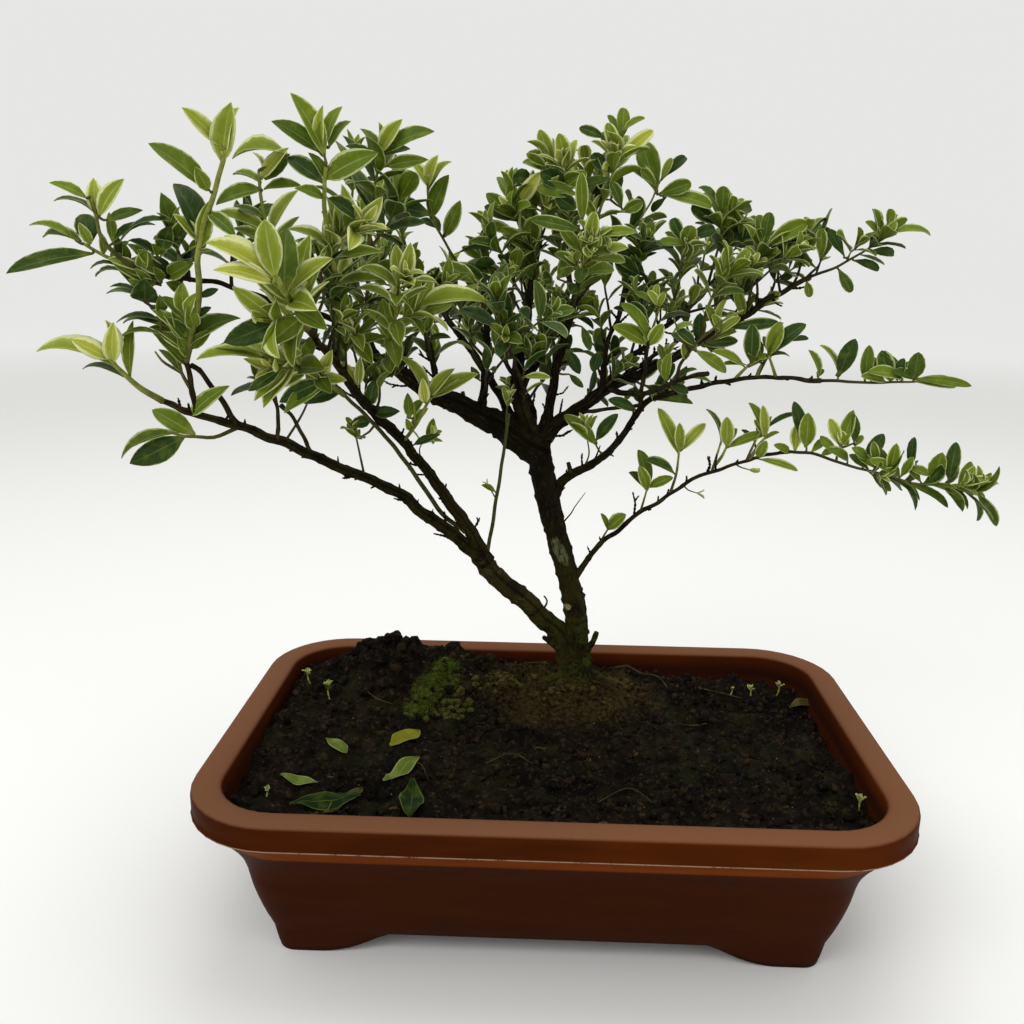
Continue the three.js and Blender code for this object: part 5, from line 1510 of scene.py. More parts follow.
def soil_shape(settings, tray):
    """The bed of soil: a crumbly top that runs into the wall, closed down to the floor."""
    shape = bmesh.new()
    bmesh.ops.create_grid(shape, x_segments=settings.cells_long, y_segments=settings.cells_wide,
                          size=0.5)
    long, wide = SOIL_SHEET
    bmesh.ops.scale(shape, vec=(long * MM, wide * MM, 1), verts=shape.verts[:])
    far = [v for v in shape.verts if inner_gap(v.co.x / MM, v.co.y / MM, tray) < -1.5]
    bmesh.ops.delete(shape, geom=far, context="VERTS")
    for vertex in shape.verts:
        x, y = vertex.co.x / MM, vertex.co.y / MM
        gap = inner_gap(x, y, tray)
        edge = max(0.0, min(1.0, gap / 9))
        height = crumbled(x, y) - 1.5 * (1 - edge) ** 2
        vertex.co.z = min(height, heap_limit(gap)) * MM
    rim = [e for e in shape.edges if e.is_boundary]
    grown = bmesh.ops.extrude_edge_only(shape, edges=rim)["geom"]
    low = [g for g in grown if is_vertex(g)]
    for vertex in low:
        vertex.co.x *= 0.80
        vertex.co.y *= 0.72
        vertex.co.z = (TRAY_FLOOR + 0.4) * MM
    bmesh.ops.edgenet_fill(shape, edges=[g for g in grown if is_edge(g)])
    bmesh.ops.recalc_face_normals(shape, faces=shape.faces[:])
    return shape


def add_lump(gathering, template, middle, radii, draw, rough, tint):
    """Adds one rough rounded lump, turned at random."""
    turn = Matrix.Rotation(draw() * 6.28, 3, "Z") @ Matrix.Rotation(draw.around(0.5), 3, "X")
    shift = Vector((draw() * 50, draw() * 50, draw() * 50))
    points = []
    for spot in template.spots:
        out = Vector(spot)
        swell = 1 + rough * noise.noise(out * 1.3 + shift) + rough * 0.5 * noise.noise(
            out * 3.1 + shift)
        points.append(middle + turn @ Vector((out.x * radii[0], out.y * radii[1],
                                              out.z * radii[2])) * swell)
    points = np.array(points)
    places = np.zeros_like(points)
    places[:, 1] = (template.spots[:, 2] + 1) / 2
    gathering.add(template, points, places, tint)


def scatter_spot(draw, tray, margin):
    """A point on the soil at random, in millimetres, some way inside the wall."""
    while True:
        x, y = draw.around(136), draw.around(86)
        if inner_gap(x, y, tray) > margin:
            return x, y


def under_dropped_leaf(x, y):
    """Whether a dropped leaf lies over a point; no crumb stands there to pierce it."""
    for _, leaf_x, leaf_y, heading, length, wide, _ in FALLEN:
        angle = math.radians(heading)
        along = (x - leaf_x) * math.cos(angle) + (y - leaf_y) * math.sin(angle)
        across = (y - leaf_y) * math.cos(angle) - (x - leaf_x) * math.sin(angle)
        if -2 < along < length + 2 and abs(across) < wide / 2 + 2:
            return True
    return False


def soil_crumbs(settings, tray):
    """Loose crumbs and clods, half sunk in the soil."""
    gathering = Gathering()
    draw = Draw(41)
    fine = Template.named("grain", lump_shape, 1)
    coarse = Template.named("clod", lump_shape, 2)
    for _ in range(settings.crumbs):
        x, y = scatter_spot(draw, tray, 3)
        size = 0.5 + 1.6 * draw() ** 3
        if (draw() < 0.35 and not (-95 < x < -20 and y > 20)) or under_dropped_leaf(x, y):
            continue
        middle = Vector((x, y, loose_top(x, y, tray) + 0.25 * size)) * MM
        radii = [size * draw.between(0.55, 1.35) * MM for _ in range(3)]
        add_lump(gathering, fine, middle, radii, draw, 1.0, (0, draw(), 0))
    for _ in range(settings.clods):
        x, y = scatter_spot(draw, tray, 8)
        heaped = -125 < x < -15 and y > 35
        if (not heaped and draw() < 0.70) or under_dropped_leaf(x, y):
            continue
        size = draw.between(1.5, 3.4 if heaped else 2.4)
        middle = Vector((x, y, loose_top(x, y, tray) + 0.3 * size)) * MM
        radii = [size * draw.between(0.6, 1.3) * MM for _ in range(3)]
        add_lump(gathering, coarse, middle, radii, draw, 0.65, (0, 0.7 * draw(), 0))
    middle = Vector((-53, 79, 81.0)) * MM
    add_lump(gathering, coarse, middle, (6 * MM, 4 * MM, 4 * MM), draw, 0.5, (0, 0.1, 0))
    return gathering


def moss_cushions():
    """Low cushions of moss with fine upright spikes."""
    gathering = Gathering()
    draw = Draw(57)
    mound = Template.named("grain", lump_shape, 1)
    spike = Template.named("tuft", tuft_shape)
    for mid_x, mid_y, wide_x, wide_y, tufts, fresh in MOSS_PATCHES:
        for _ in range(tufts):
            angle, reach = draw() * WHOLE_TURN, draw() ** 0.6
            x = mid_x + wide_x * reach * math.cos(angle)
            y = mid_y + wide_y * reach * math.sin(angle)
            patchy = noise.noise(Vector((x * 0.09, y * 0.09, 4.0)))
            thin = -0.65 + 0.65 * (1 - fresh) + 0.65 * reach ** 2
            if patchy < thin or math.hypot(x - 15, y - 58) < 8:
                continue
            ground = crumbled(x, y)
            tone = min(1.0, max(0.0, fresh + draw.around(0.25)))
            if draw() < 0.6:
                size = draw.between(1.2, 2.6)
                add_lump(gathering, mound, Vector((x, y, ground - 0.2)) * MM,
                         (size * MM, size * MM, size * 0.7 * MM), draw, 0.5,
                         (tone * 0.8, 0, 0))
            for _ in range(6):
                base = Vector((x + draw.around(2.2), y + draw.around(2.2), ground + 0.3)) * MM
                lean = Vector((draw.around(0.7), draw.around(0.7), 1)).normalized()
                turn = UP.rotation_difference(lean).to_matrix()
                tall, thick = draw.between(0.9, 2.2) * MM, draw.between(0.12, 0.24) * MM
                points = [base + turn @ Vector((s[0] * thick, s[1] * thick, s[2] * tall))
                          for s in spike.spots]
                places = np.zeros((len(points), 3))
                places[:, 1] = spike.spots[:, 2]
                gathering.add(spike, np.array(points), places, (tone, draw(), 0))
    return gathering


# ---- Wood ------------------------------------------------------------------------------------

STOUT = ("trunk", "left_stem")
SLENDER = ("long_right_branch", "front_left_twig", "back_left_limb")


class Tree:
    """The limbs' routes, worked out once, and how to find the wood nearest to a point."""

    def __init__(self):
        self.routes = {name: smooth_route(points, 1.7 * MM) for name, radii, points in LIMBS}
        self.radii = {}
        for name, radii, points in LIMBS:
            spread = spread_radii(radii, len(self.routes[name]))
            if "root" not in name and "stub" not in name and name not in STOUT:
                spread = slimmed(spread, (0.8 if name.endswith("shoot") else 1.15) * MM)
            if name in SLENDER:
                spread = spread * 0.78
            self.radii[name] = spread
        self.names = np.array([name for name in self.routes for _ in self.routes[name]])
        self.spots = np.array([p for name in self.routes for p in self.routes[name]])

    def nearest(self, point):
        distance = np.linalg.norm(self.spots - np.array(point), axis=1)
        return Vector(self.spots[int(distance.argmin())])


def wander(route, size, seed):
    """The same route with small kinks in it, none at its ends."""
    out = []
    for k, point in enumerate(route):
        hold = min(1.0, k / 4, (len(route) - 1 - k) / 4)
        spot = point / MM * 0.09
        kink = Vector((noise.noise(spot + Vector((seed, 0, 0))),
                       noise.noise(spot + Vector((0, seed, 9))),
                       noise.noise(spot + Vector((5, 0, seed)))))
        out.append(point + kink * size * hold)
    return out


# Limbs that carry dead spurs and thin inner twigs.
TWIGGY = (
    "left_limb", "centre_limb", "centre_right_limb", "right_limb", "left_upright",
    "left_upright_2", "right_upright", "right_rear_limb", "lower_right_limb", "front_branch",
    "left_rear_limb", "back_limb", "back_left_limb", "back_right_limb",
    "right_inner_upright", "low_left_branch", "long_right_branch",
)

# The limb of these that has no inner twigs.
BARE_LIMB = "low_left_branch"


def slimmed(radii, tip):
    """Thin limbs made slimmer, and eased down to the given radius at their tips."""
    thick = np.clip((radii / MM - 1.5) / 3.5, 0, 1)
    slim = radii * (0.66 + 0.34 * thick * thick * (3 - 2 * thick))
    if tip:
        end = np.clip((np.linspace(0, 1, len(radii)) - 0.7) / 0.3, 0, 1)
        slim = slim + (tip - slim) * end * end
    return slim


def add_spur(gathering, point, way, length, thick, draw):
    """A short blunt dead spur with swollen joints."""
    bend = Vector((draw.around(1), draw.around(1), draw.around(1))) * 0.35
    middle = point + (way + bend) * length * 0.5
    end = middle + (way - bend * 0.4 + UP * 0.2) * length * 0.5
    count = max(4, round(length / (0.9 * MM)))
    frames = Frames(evenly([point, middle, end], length / count))
    radii = np.array([thick * (1.25 if k % 2 else 0.8) * draw.between(0.85, 1.2)
                      for k in range(len(frames.route))])
    radii *= np.linspace(1.25, 0.75, len(radii))
    radii[-1] *= 0.6
    add_tube(gathering, frames, radii, 5, ((0.1, 0.3 + 0.3 * draw()), draw(), 0))
    return frames


def wood_pieces(tree, settings):
    """Trunk, limbs, roots, stubs and the short dead spurs on them."""
    gathering = Gathering()
    draw = Draw(3)
    framed = {}
    for index, (name, route) in enumerate(tree.routes.items()):
        fixed = "root" in name or "stub" in name or name == "trunk"
        green = name in ("green_shoot", "upright_shoot")
        if not fixed:
            kinks = 0.4 if green else 0.6 if name == "left_stem" else 1.3
            route = wander(route, kinks * MM, index)
        frames = Frames(route)
        framed[name] = frames
        radii = tree.radii[name].copy()
        run = np.arange(len(route)) * frames.step
        if not fixed:
            radii *= 1 + 0.40 * np.exp(-run / (1.8 * radii[0]))
        spot = draw.between(4, 9) * MM
        while spot < frames.length and not green:
            radii += radii * draw.between(0.05, 0.20) * np.exp(-((run - spot) / (1.1 * MM)) ** 2)
            spot += draw.between(6, 13) * MM
        thick = radii[0] / MM
        youth = max(0.0, min(0.5, (3.0 - thick) / 3.5))
        youth = (youth, youth if fixed else max(0.45, youth))
        shift = Vector((index * 3.7, index * 1.9, 0))
        depth = settings.bark_depth * (0.6 if name == "left_stem" else 1.0)

        def relief(turn, run, radius, shift=shift, depth=depth):
            round_it = Vector((math.cos(turn) * radius, math.sin(turn) * radius,
                               run * 0.35)) / MM
            rough = noise.noise(round_it * 0.42 + shift)
            plates = noise.voronoi(round_it * 0.85 + shift)[0]
            flake = min(1.0, (plates[1] - plates[0]) * 2.4) - 0.5
            return radius * depth * (0.9 * rough + 0.5 * flake)

        sides = 20 if thick > 5 else 12 if thick > 2.4 else 8
        add_tube(gathering, frames, radii, sides, (youth, draw(), 1 if green else 0),
                 None if green else relief)

    for name in TWIGGY:
        frames = framed[name]
        radii = tree.radii[name]
        run = draw.between(4, 10) * MM
        while run < frames.length - 3 * MM:
            point, ahead, side, other = frames.at(run)
            turn = draw() * WHOLE_TURN
            out = side * math.cos(turn) + other * math.sin(turn)
            way = (out + ahead * draw.between(0.1, 0.9) + UP * 0.4).normalized()
            length = (draw.between(1.4, 3.6) if draw() < 0.72 else draw.between(5, 12)) * MM
            girth = radii[int(run / frames.step)]
            spur = add_spur(gathering, point + out * girth * 0.6, way, length + girth * 0.4,
                            draw.between(0.42, 0.62) * MM, draw)
            if length > 5 * MM and draw() < 0.7:
                start, onward, aside, across = spur.at(spur.length * 0.6)
                add_spur(gathering, start, (onward * 0.6 + aside * draw.around(1)
                                            + across * draw.around(1)).normalized(),
                         draw.between(1.6, 3.5) * MM, 0.42 * MM, draw)
            run += draw.between(4, 12) * MM / settings.twiglets
    return gathering


def thin_roots():
    """Thin pale roots and a hair-fine twig, bare."""
    gathering = Gathering()
    draw = Draw(77)
    for knots, thick, thin in THIN_ROOTS:
        route = smooth_route([(x, y, crumbled(x, y) + lift) for x, y, lift in knots], 1.5 * MM)
        radii = np.linspace(thick, thin, len(route)) * MM
        add_tube(gathering, Frames(route), radii, 6, ((1, 1), draw(), 0))
    hair = smooth_route(HAIR_TWIG, 1.2 * MM)
    add_tube(gathering, Frames(hair), np.linspace(0.45, 0.16, len(hair)) * MM, 5,
             ((0.3, 0.3), 0.5, 0))
    return gathering


# ---- Leaves ----------------------------------------------------------------------------------

# Where the rows of a pointed and of a blunt leaf lie, as shares of its length.
POINTED_ROWS = np.array([0.0, 0.12, 0.29, 0.50, 0.71, 0.88, 1.0])
BLUNT_ROWS = np.array([0.0, 0.17, 0.40, 0.64, 0.84, 0.96, 1.0])
LONG_LEAF = 15
# The pairs of leaves from a twig's tip back: how large, how spread and how much younger.
PAIR_SIZE = (0.50, 0.80, 1.0, 1.0)
PAIR_SPREAD = (0.24, 0.44, 0.66, 0.86)
PAIR_YOUTH = (0.30, 0.16, 0.04, -0.06)


def blade_spots(template, rows):
    """Share across (-1 to 1), row along and which face, for a blade's points."""
    across = template.spots[:, 0] * 2
    row = np.rint((template.spots[:, 1] + 0.5) * rows).astype(int)
    under = np.where(template.spots[:, 2] < template.spots[:, 2].mean(), 1.0, 0.0)
    return across, row, under


def blade_points(spots, base, along, face, form):
    """Bends a flat blade into a leaf; returns its points and its marks."""
    across, share, under = spots
    peak = 0.46 + 0.18 * form["round"]
    beyond = np.where(share > peak, (share - peak) / (1 - peak), (peak - share) / peak)
    fall = np.where(share > peak, 0.93 - 0.44 * form["round"], 1.00 + 0.30 * form["round"])
    full = np.maximum(0, 1 - beyond ** 2) ** fall
    full = np.maximum(full, np.where(share < 0.5, 0.13, 0.03))
    half = form["width"] / 2 * full
    bend = form["arch"] * share ** 1.3 + 1e-4
    reach = form["length"] * share * np.sinc(bend / 2 / math.pi) * np.cos(bend / 2)
    drop = form["length"] * share * np.sinc(bend / 2 / math.pi) * np.sin(bend / 2)
    sway = form["sway"] * form["length"] * share ** 2
    ripple = np.sin(share * 8.0 + form["phase"] + (across > 0) * 2.0)
    lift = half * (form["fold"] * np.abs(across) + form["wave"] * across ** 2 * ripple)
    lift = lift - under * form["thick"] * (1 - 0.6 * across ** 2)
    across_way = np.array(along.cross(face))
    along, face = np.array(along), np.array(face)
    over = face[None, :] * np.cos(bend)[:, None] + along[None, :] * np.sin(bend)[:, None]
    points = (np.array(base)[None, :] + along[None, :] * reach[:, None]
              - face[None, :] * drop[:, None]
              + across_way[None, :] * (across * half + sway)[:, None] + over * lift[:, None])
    places = np.stack([across, share, half], axis=1)
    return points, places


def flat_blade(length):
    """The flat blade that a leaf is bent from, its spots and rows; long leaves have more rows."""
    rows = 9 if length > LONG_LEAF * MM else 6
    template = Template.named(("blade", rows), blade_shape, 4, rows)
    return template, blade_spots(template, rows), rows


class Foliage:
    """Grows leaves and leafy side shoots on a spray's twigs."""

    def __init__(self, gathering, settings, seed):
        self.gathering = gathering
        self.settings = settings
        self.draw = Draw(seed)
        self.count = 0

    def leaf(self, base, ahead, out, spread, length, roundness, youth):
        draw = self.draw
        along = ahead * math.cos(spread) + out * math.sin(spread)
        along = (along + UP * 0.14).normalized()
        face = ahead - along * ahead.dot(along)
        if face.length < 0.05:
            face = UP - along * along.z
        face = face.normalized() + UP * (0.55 + draw.around(0.2))
        face = face - along * face.dot(along)
        if face.length < 0.05:
            return
        face.normalize()
        tilt = draw.around(0.35)
        side = along.cross(face)
        face = (face * math.cos(tilt) + side * math.sin(tilt)).normalized()
        girth = self.settings.leaf_width * (1 + 0.24 * roundness) * draw.between(0.85, 1.15)
        arch = draw.between(0.15, 0.80) * (1.1 - 0.5 * youth)
        youth = max(0.0, min(1.0, youth + draw.around(0.10)))
        self.blade(base, along, face, youth, {
            "length": length, "width": length * girth, "round": roundness, "arch": arch,
            "fold": draw.between(0.15, 0.50) + 0.25 * youth,
            "wave": draw.between(0.02, 0.16), "sway": draw.around(0.10),
        })

    def seen_twig(self, wood, line, thick, youth):
        """A twig placed as the camera sees it, from the nearest wood; the wood grows by it."""
        apart = np.linalg.norm(seen_at(wood) - line[0], axis=1)
        root = wood[int(apart.argmin())]
        knots = [root] + [place_seen(across, down, root.y - 1.5 * (k + 1) * MM)
                          for k, (across, down) in enumerate(line[1:])]
        route = smooth_route([knot / MM for knot in knots], 2.0 * MM)
        frames = Frames(wander(route, 0.5 * MM, line[0][0]))
        self.stem(frames, thick, thick * 0.6, (youth, min(1.0, youth + 0.3)))
        wood += frames.route

    def set_leaf(self, wood, row):
        """A leaf placed as the camera sees it, on a short stalk from the nearest wood."""
        draw = self.draw
        base_across, base_down, tip_across, tip_down, behind, turn, width, youth = row
        apart = np.linalg.norm(seen_at(wood) - (base_across, base_down), axis=1)
        root = wood[int(apart.argmin())]
        base = place_seen(base_across, base_down, root.y)
        tip = place_seen(tip_across, tip_down, root.y + behind * MM)
        turn, youth = math.radians(turn), youth / 100
        width = width / 100 * (tip - base).length
        base = base.lerp(root, 0.60 if (root - base).length < 9 * MM else 0.30)
        if (root - base).length > 0.8 * MM:
            middle = (root + base) * 0.5 + Vector((draw.around(1), draw.around(1), -0.5)) * MM
            frames = Frames(evenly([root, middle, base], 1.3 * MM))
            self.stem(frames, 0.62, 0.42, (max(0.30, youth * 0.7), max(0.5, youth)))
            wood += frames.route
        along = (tip - base).normalized()
        face = FRONT - base
        face = (face - along * face.dot(along)).normalized()
        side = along.cross(face)
        if side.z < 0:
            side = -side
        face = face * math.cos(turn) + side * math.sin(turn)
        arch = draw.between(0.20, 0.75) + 0.5 * math.sin(turn)
        length = (tip - base).length / (math.sin(arch / 2) / (arch / 2))
        along, face = (along * math.cos(arch / 2) + face * math.sin(arch / 2),
                       face * math.cos(arch / 2) - along * math.sin(arch / 2))
        self.blade(base, along, face, youth, {
            "length": length, "width": width * self.settings.set_width,
            "round": roundness_at(base / MM), "arch": arch,
            "fold": draw.between(0.25, 0.65) + 0.2 * youth,
            "wave": draw.between(0.02, 0.16), "sway": draw.around(0.08),
        })

    def blade(self, base, along, face, youth, form):
        """Adds one blade; long ones have more rows."""
        form.update(phase=self.draw() * 6.28, thick=0.28 * MM)
        template, (across, row, under), rows = flat_blade(form["length"])
        stops = np.linspace(0, 1, len(POINTED_ROWS))
        pointed = np.interp(row / rows, stops, POINTED_ROWS)
        blunt = np.interp(row / rows, stops, BLUNT_ROWS)
        share = pointed * (1 - form["round"]) + blunt * form["round"]
        points, places = blade_points((across, share, under), base, along, face, form)
        self.gathering.add(template, points, places, (youth, self.draw(), 0))
        self.count += 1

    def stem(self, frames, thick, thin, youth):
        radii = np.linspace(thick, thin, len(frames.route)) * MM
        add_tube(self.gathering, frames, radii, 6, (youth, self.draw(), 1))

    def shoot(self, frames, size, roundness, youth, leafy, branching):
        """Leaves in crossing pairs from the tip back, smaller and closer at the tip."""
        draw = self.draw
        turn = draw() * math.pi
        start, end = leafy
        back = max(0.3 * MM, start * frames.length)
        gap = self.settings.tip_gap * size
        branching = min(0.4, branching * (14 * MM / size) ** 1.5)
        pair = 2 if start else 0
        while back < frames.length * end:
            point, ahead, side, other = frames.at(frames.length - back)
            place = min(pair, len(PAIR_SIZE) - 1)
            grown, spread = PAIR_SIZE[place], PAIR_SPREAD[place]
            fresh = youth + PAIR_YOUTH[place] - 0.02 * pair
            for half in (0.0, math.pi):
                angle = turn + half + draw.around(0.3)
                out = side * math.cos(angle) + other * math.sin(angle)
                kept = draw()
                if pair < 3 or kept > 0.22:
                    self.leaf(point, ahead, out, spread + draw.around(0.2),
                              size * grown * draw.between(0.80, 1.10), roundness, fresh)
                if branching and pair > 1 and draw() < branching:
                    self.side_shoot(point, ahead, out, size, roundness, youth)
            turn += math.pi / 2 + draw.around(0.15)
            back += gap * draw.between(0.85, 1.15)
            gap = min(self.settings.pair_gap * size, gap * 1.55)
            pair += 1

    def side_shoot(self, point, ahead, out, size, roundness, youth):
        draw = self.draw
        length = draw.between(4.0, 11.0) * MM
        way = (ahead * 0.75 + out * 0.85 + UP * 0.30).normalized()
        middle = point + way * length * 0.5
        end = middle + (way + UP * 0.35).normalized() * length * 0.5
        frames = Frames(evenly([point, middle, end], length / 4))
        self.stem(frames, 0.45, 0.32, (youth, min(1.0, youth + 0.3)))
        self.shoot(frames, size * draw.between(0.62, 0.88), roundness, youth + 0.05, (0, 0.85), 0)


def roundness_at(point):
    """Leaves are pointed at the left end of the crown, blunt at the right, less so low down."""
    across = max(0.0, min(1.0, (point[0] + 75) / 118))
    return across * (0.55 + 0.45 * max(0.0, min(1.0, (point[2] - 250) / 40)))


# Where leaves grow by themselves on a spray's twigs, as shares of a twig back from its tip.
# The twigs of SET_ONLY bear set leaves alone.
GROWN = {
    "front_upper": (0.36, 0.80), "front_centre": (0.40, 0.80), "left_top": (0.10, 0.88),
    "inner_front": (0.10, 0.80),
    "front_large": (0.45, 0.90), "front_low": (0.25, 0.80), "low_right_end": (0.03, 0.58),
    "right_end": (0.14, 0.42), "top_right": (0.40, 0.85),
    "right_rear": (0.10, 0.62), "right_top": (0.28, 0.75), "right_middle": (0.12, 0.78),
    "centre_right": (0.10, 0.50), "top": (0.12, 0.78), "centre_left": (0.0, 0.60),
    "centre_top": (0.10, 0.80), "right_front": (0.0, 0.45), "centre_left_low": (0.25, 0.90),
}
SET_ONLY = ("far_left", "left_middle", "long_left_shoot", "slanting", "left_tip", "left_low",
            "low_right_upper", "low_right_twig", "low_right_inner", "low_right_first",
            "low_light", "right_long_end", "centre_right_low", "right_inner", "right_low",
            "front_right")
# More twigs that set leaves sit on, base to tip, as the camera sees them in its view.
SEEN_TWIGS = {
    "far_left": [[(166, 273), (142, 268), (120, 262), (102, 254), (84, 244)],
                 [(164, 275), (152, 285), (140, 294)], [(140, 268), (150, 256), (160, 250)]],
    "long_left_shoot": [[(192, 342), (178, 332), (164, 322)], [(194, 330), (184, 312)]],
    "front_right": [[(776, 366), (769, 356)]],
    "right_inner": [[(704, 346), (716, 335), (728, 327)]],
    "low_right_twig": [[(711, 468), (720, 459), (726, 448)]],
    "low_right_upper": [[(750, 459), (757, 447), (765, 438)]],
    "right_low": [[(735, 380), (741, 373), (748, 366)], [(755, 378), (760, 368), (768, 357)],
                  [(748, 366), (758, 362), (770, 356)]],
    "lone_sprigs": [[(597, 549), (602, 539), (608, 529)], [(545, 609), (547, 602), (544, 596)]],
}
# Limbs that some sprays' set leaves sit on as well.
BEARING_LIMBS = {
    "far_left": ("left_far_branch",), "long_left_shoot": ("left_twig", "left_twig_2"),
    "left_middle": ("left_twig", "left_twig_2"), "left_low": ("low_left_branch",),
    "right_low": ("lower_right_limb",), "low_right_twig": ("long_right_branch",),
    "front_right": ("lower_right_limb", "right_limb", "front_right_twig"),
    "low_right_upper": ("long_right_branch",),
}
# The place in front of the tree that the set leaves are turned from.
FRONT = Vector((0.0, -0.45, 0.30))
# How young the leaves of a tone are, and of some sprays that lie between two tones.
TONE_YOUTH = {"young": 0.62, "mature": 0.30, "dark": 0.08}
SOFTER = {"centre_front": 0.42, "right_front": 0.40, "right_top": 0.38, "right_rear": 0.36}


def build_spray(tree, settings, index):
    """One spray: its twigs, their leaves and their short side shoots."""
    name, tone, leaf, twigs = SPRAYS[index]
    gathering = Gathering()
    foliage = Foliage(gathering, settings, 500 + index * 17)
    youth = SOFTER.get(name, TONE_YOUTH[tone])
    first = None
    twig_spots = []
    for number, knots in enumerate(twigs):
        start = Vector(knots[0]) * MM
        if first is None:
            root = tree.nearest(start)
        else:
            root = min(first.route, key=lambda p: (p - start).length)
        route = smooth_route([root / MM, *knots[1:]], 2.4 * MM)
        frames = Frames(wander(route, (0.45 if tone == "young" else 0.8) * MM, index + number))
        if first is None:
            first = frames
        thick = (0.058 if leaf > 22 else 0.048) * leaf * (1.0 if first is frames else 0.75)
        woody = 0.75 if leaf > 19 else 0.40
        foliage.stem(frames, thick, thick * 0.55, (youth * woody, min(1.0, youth + 0.35)))
        if name in SET_ONLY:
            twig_spots += frames.route
            continue
        size = leaf * MM * settings.leaf_size * (settings.young_size if tone == "young" else 1)
        foliage.shoot(frames, size, roundness_at(knots[-1]),
                      youth, GROWN.get(name, (0, settings.leafy_share)), settings.side_shoots)
        twig_spots += frames.route
    for limb in BEARING_LIMBS.get(name, ()):
        twig_spots += tree.routes[limb]
    for line in SEEN_TWIGS.get(name, ()):
        foliage.seen_twig(twig_spots, line, 0.95, 0.2 if tone == "dark" else 0.45)
    for row in SET_LEAVES.get(name, []):
        foliage.set_leaf(twig_spots, row)
    return gathering, foliage.count


def lone_shoots(tree, settings):
    """Single leaves and small sprigs straight on the limbs."""
    gathering = Gathering()
    for index, (knots, thick, size, pairs, youth, roundness) in enumerate(LONE_SHOOTS):
        foliage = Foliage(gathering, settings, 9000 + index * 13)
        root = tree.nearest(Vector(knots[0]) * MM)
        frames = Frames(smooth_route([root / MM, *knots[1:]], 1.6 * MM))
        foliage.stem(frames, thick, thick * 0.6, (youth * 0.6, youth))
        share = min(0.9, 0.12 + 0.22 * (pairs - 1))
        foliage.shoot(frames, size * MM, roundness, youth, (0, share), 0)
    foliage = Foliage(gathering, settings, 9900)
    wood = [spot for name, route in tree.routes.items() for spot in route
            if not any(part in name for part in ("root", "stub", "back", "rear"))]
    for line in SEEN_TWIGS["lone_sprigs"]:
        foliage.seen_twig(wood, line, 0.7, 0.1)
    for row in SET_LEAVES["lone_sprigs"]:
        foliage.set_leaf(wood, row)
    return gathering


def inner_twigs(tree, settings):
    """Thin twigs with small dark leaves that rise from the limbs inside the crown."""
    gathering = Gathering()
    draw = Draw(811)
    crown = np.array([knot for *_, twigs in SPRAYS for knots in twigs for knot in knots]) * MM
    total = 0
    for name in TWIGGY:
        frames = Frames(tree.routes[name])
        run = draw.between(8, 16) * MM
        while run < frames.length and name != BARE_LIMB:
            point, ahead, side, other = frames.at(run)
            run += draw.between(5.8, 10.6) * MM / settings.inner_twigs
            turn = draw() * WHOLE_TURN
            out = side * math.cos(turn) + other * math.sin(turn)
            way = (out * 0.55 + ahead * 0.45 + UP * draw.between(0.3, 1.0)).normalized()
            length = draw.between(14, 34) * MM
            bend = Vector((draw.around(1), draw.around(1), draw.around(0.6))) * 0.35
            middle = point + (way + bend).normalized() * length * 0.5
            end = middle + (way - bend * 0.6 + UP * 0.25).normalized() * length * 0.5
            away = np.linalg.norm(crown - np.array(end), axis=1).min()
            low = 0.240 if end.x < -0.02 else 0.228 if end.x < 0.032 else 0.268
            if away > 21 * MM or end.z < low:
                continue
            foliage = Foliage(gathering, settings, 3000 + total)
            twig = Frames(wander(evenly([point, middle, end], 1.8 * MM), 1.0 * MM, total))
            foliage.stem(twig, 0.75, 0.42, (0.05, 0.4))
            small, large = settings.inner_leaf
            foliage.shoot(twig, draw.between(small, large) * MM, roundness_at(point / MM),
                          draw.between(0.04, 0.50), (0, 0.55), 0.12)
            total += foliage.count
    return gathering, total


def seedlings(settings):
    """Little sprouts that come up through the soil."""
    gathering = Gathering()
    for index, (x, y, tall, size) in enumerate(SEEDLINGS):
        foliage = Foliage(gathering, settings, 7000 + index * 31)
        ground = crumbled(x, y) - 1
        lean = foliage.draw.around(2)
        knots = [(x, y, ground), (x + lean, y, ground + tall * 0.6), (x + lean, y, ground + tall)]
        frames = Frames(smooth_route(knots, 1.2 * MM))
        foliage.stem(frames, 0.45, 0.35, (1.0, 1.0))
        foliage.shoot(frames, size * MM, 0.8, 0.42, (0, 0.35), 0)
    return gathering


def dropped_leaf_mesh(name, x, y, heading, length, wide):
    """One dropped leaf that follows the soil under it, its edges curling up a little."""
    rows = 12
    template = Template.named("broad blade", blade_shape, 6, rows)
    across, row, under = blade_spots(template, rows)
    spots = (across, row / rows, under)
    angle = math.radians(heading)
    along = Vector((math.cos(angle), math.sin(angle), 0))
    form = {"length": length * MM, "width": wide * MM, "round": 0.60, "arch": 0.0,
            "fold": 0.0, "wave": 0.0, "phase": x, "sway": 0.06, "thick": 0.35 * MM}
    points, places = blade_points(spots, Vector((x, y, 0)) * MM, along, UP, form)
    grounds = [(on_soil(px, py), crumbled(px, py)) for px, py in points[:, :2] / MM]
    clear = min(4.0, 0.6 + max(rough - smooth for smooth, rough in grounds))
    for k, point in enumerate(points):
        across, share = places[k][0], places[k][1]
        rest = grounds[k][0] + clear
        lift = 0.4 * across ** 2 + 2.4 * (share - 0.5) ** 2
        point[2] += (rest + lift + 0.25 * math.sin(share * 7 + x)) * MM
    gathering = Gathering()
    gathering.add(template, points, places, (0.5, 0.5, 0))
    return gathering.mesh(name)


# ---- Sizes and colours that a user may change ------------------------------------------------

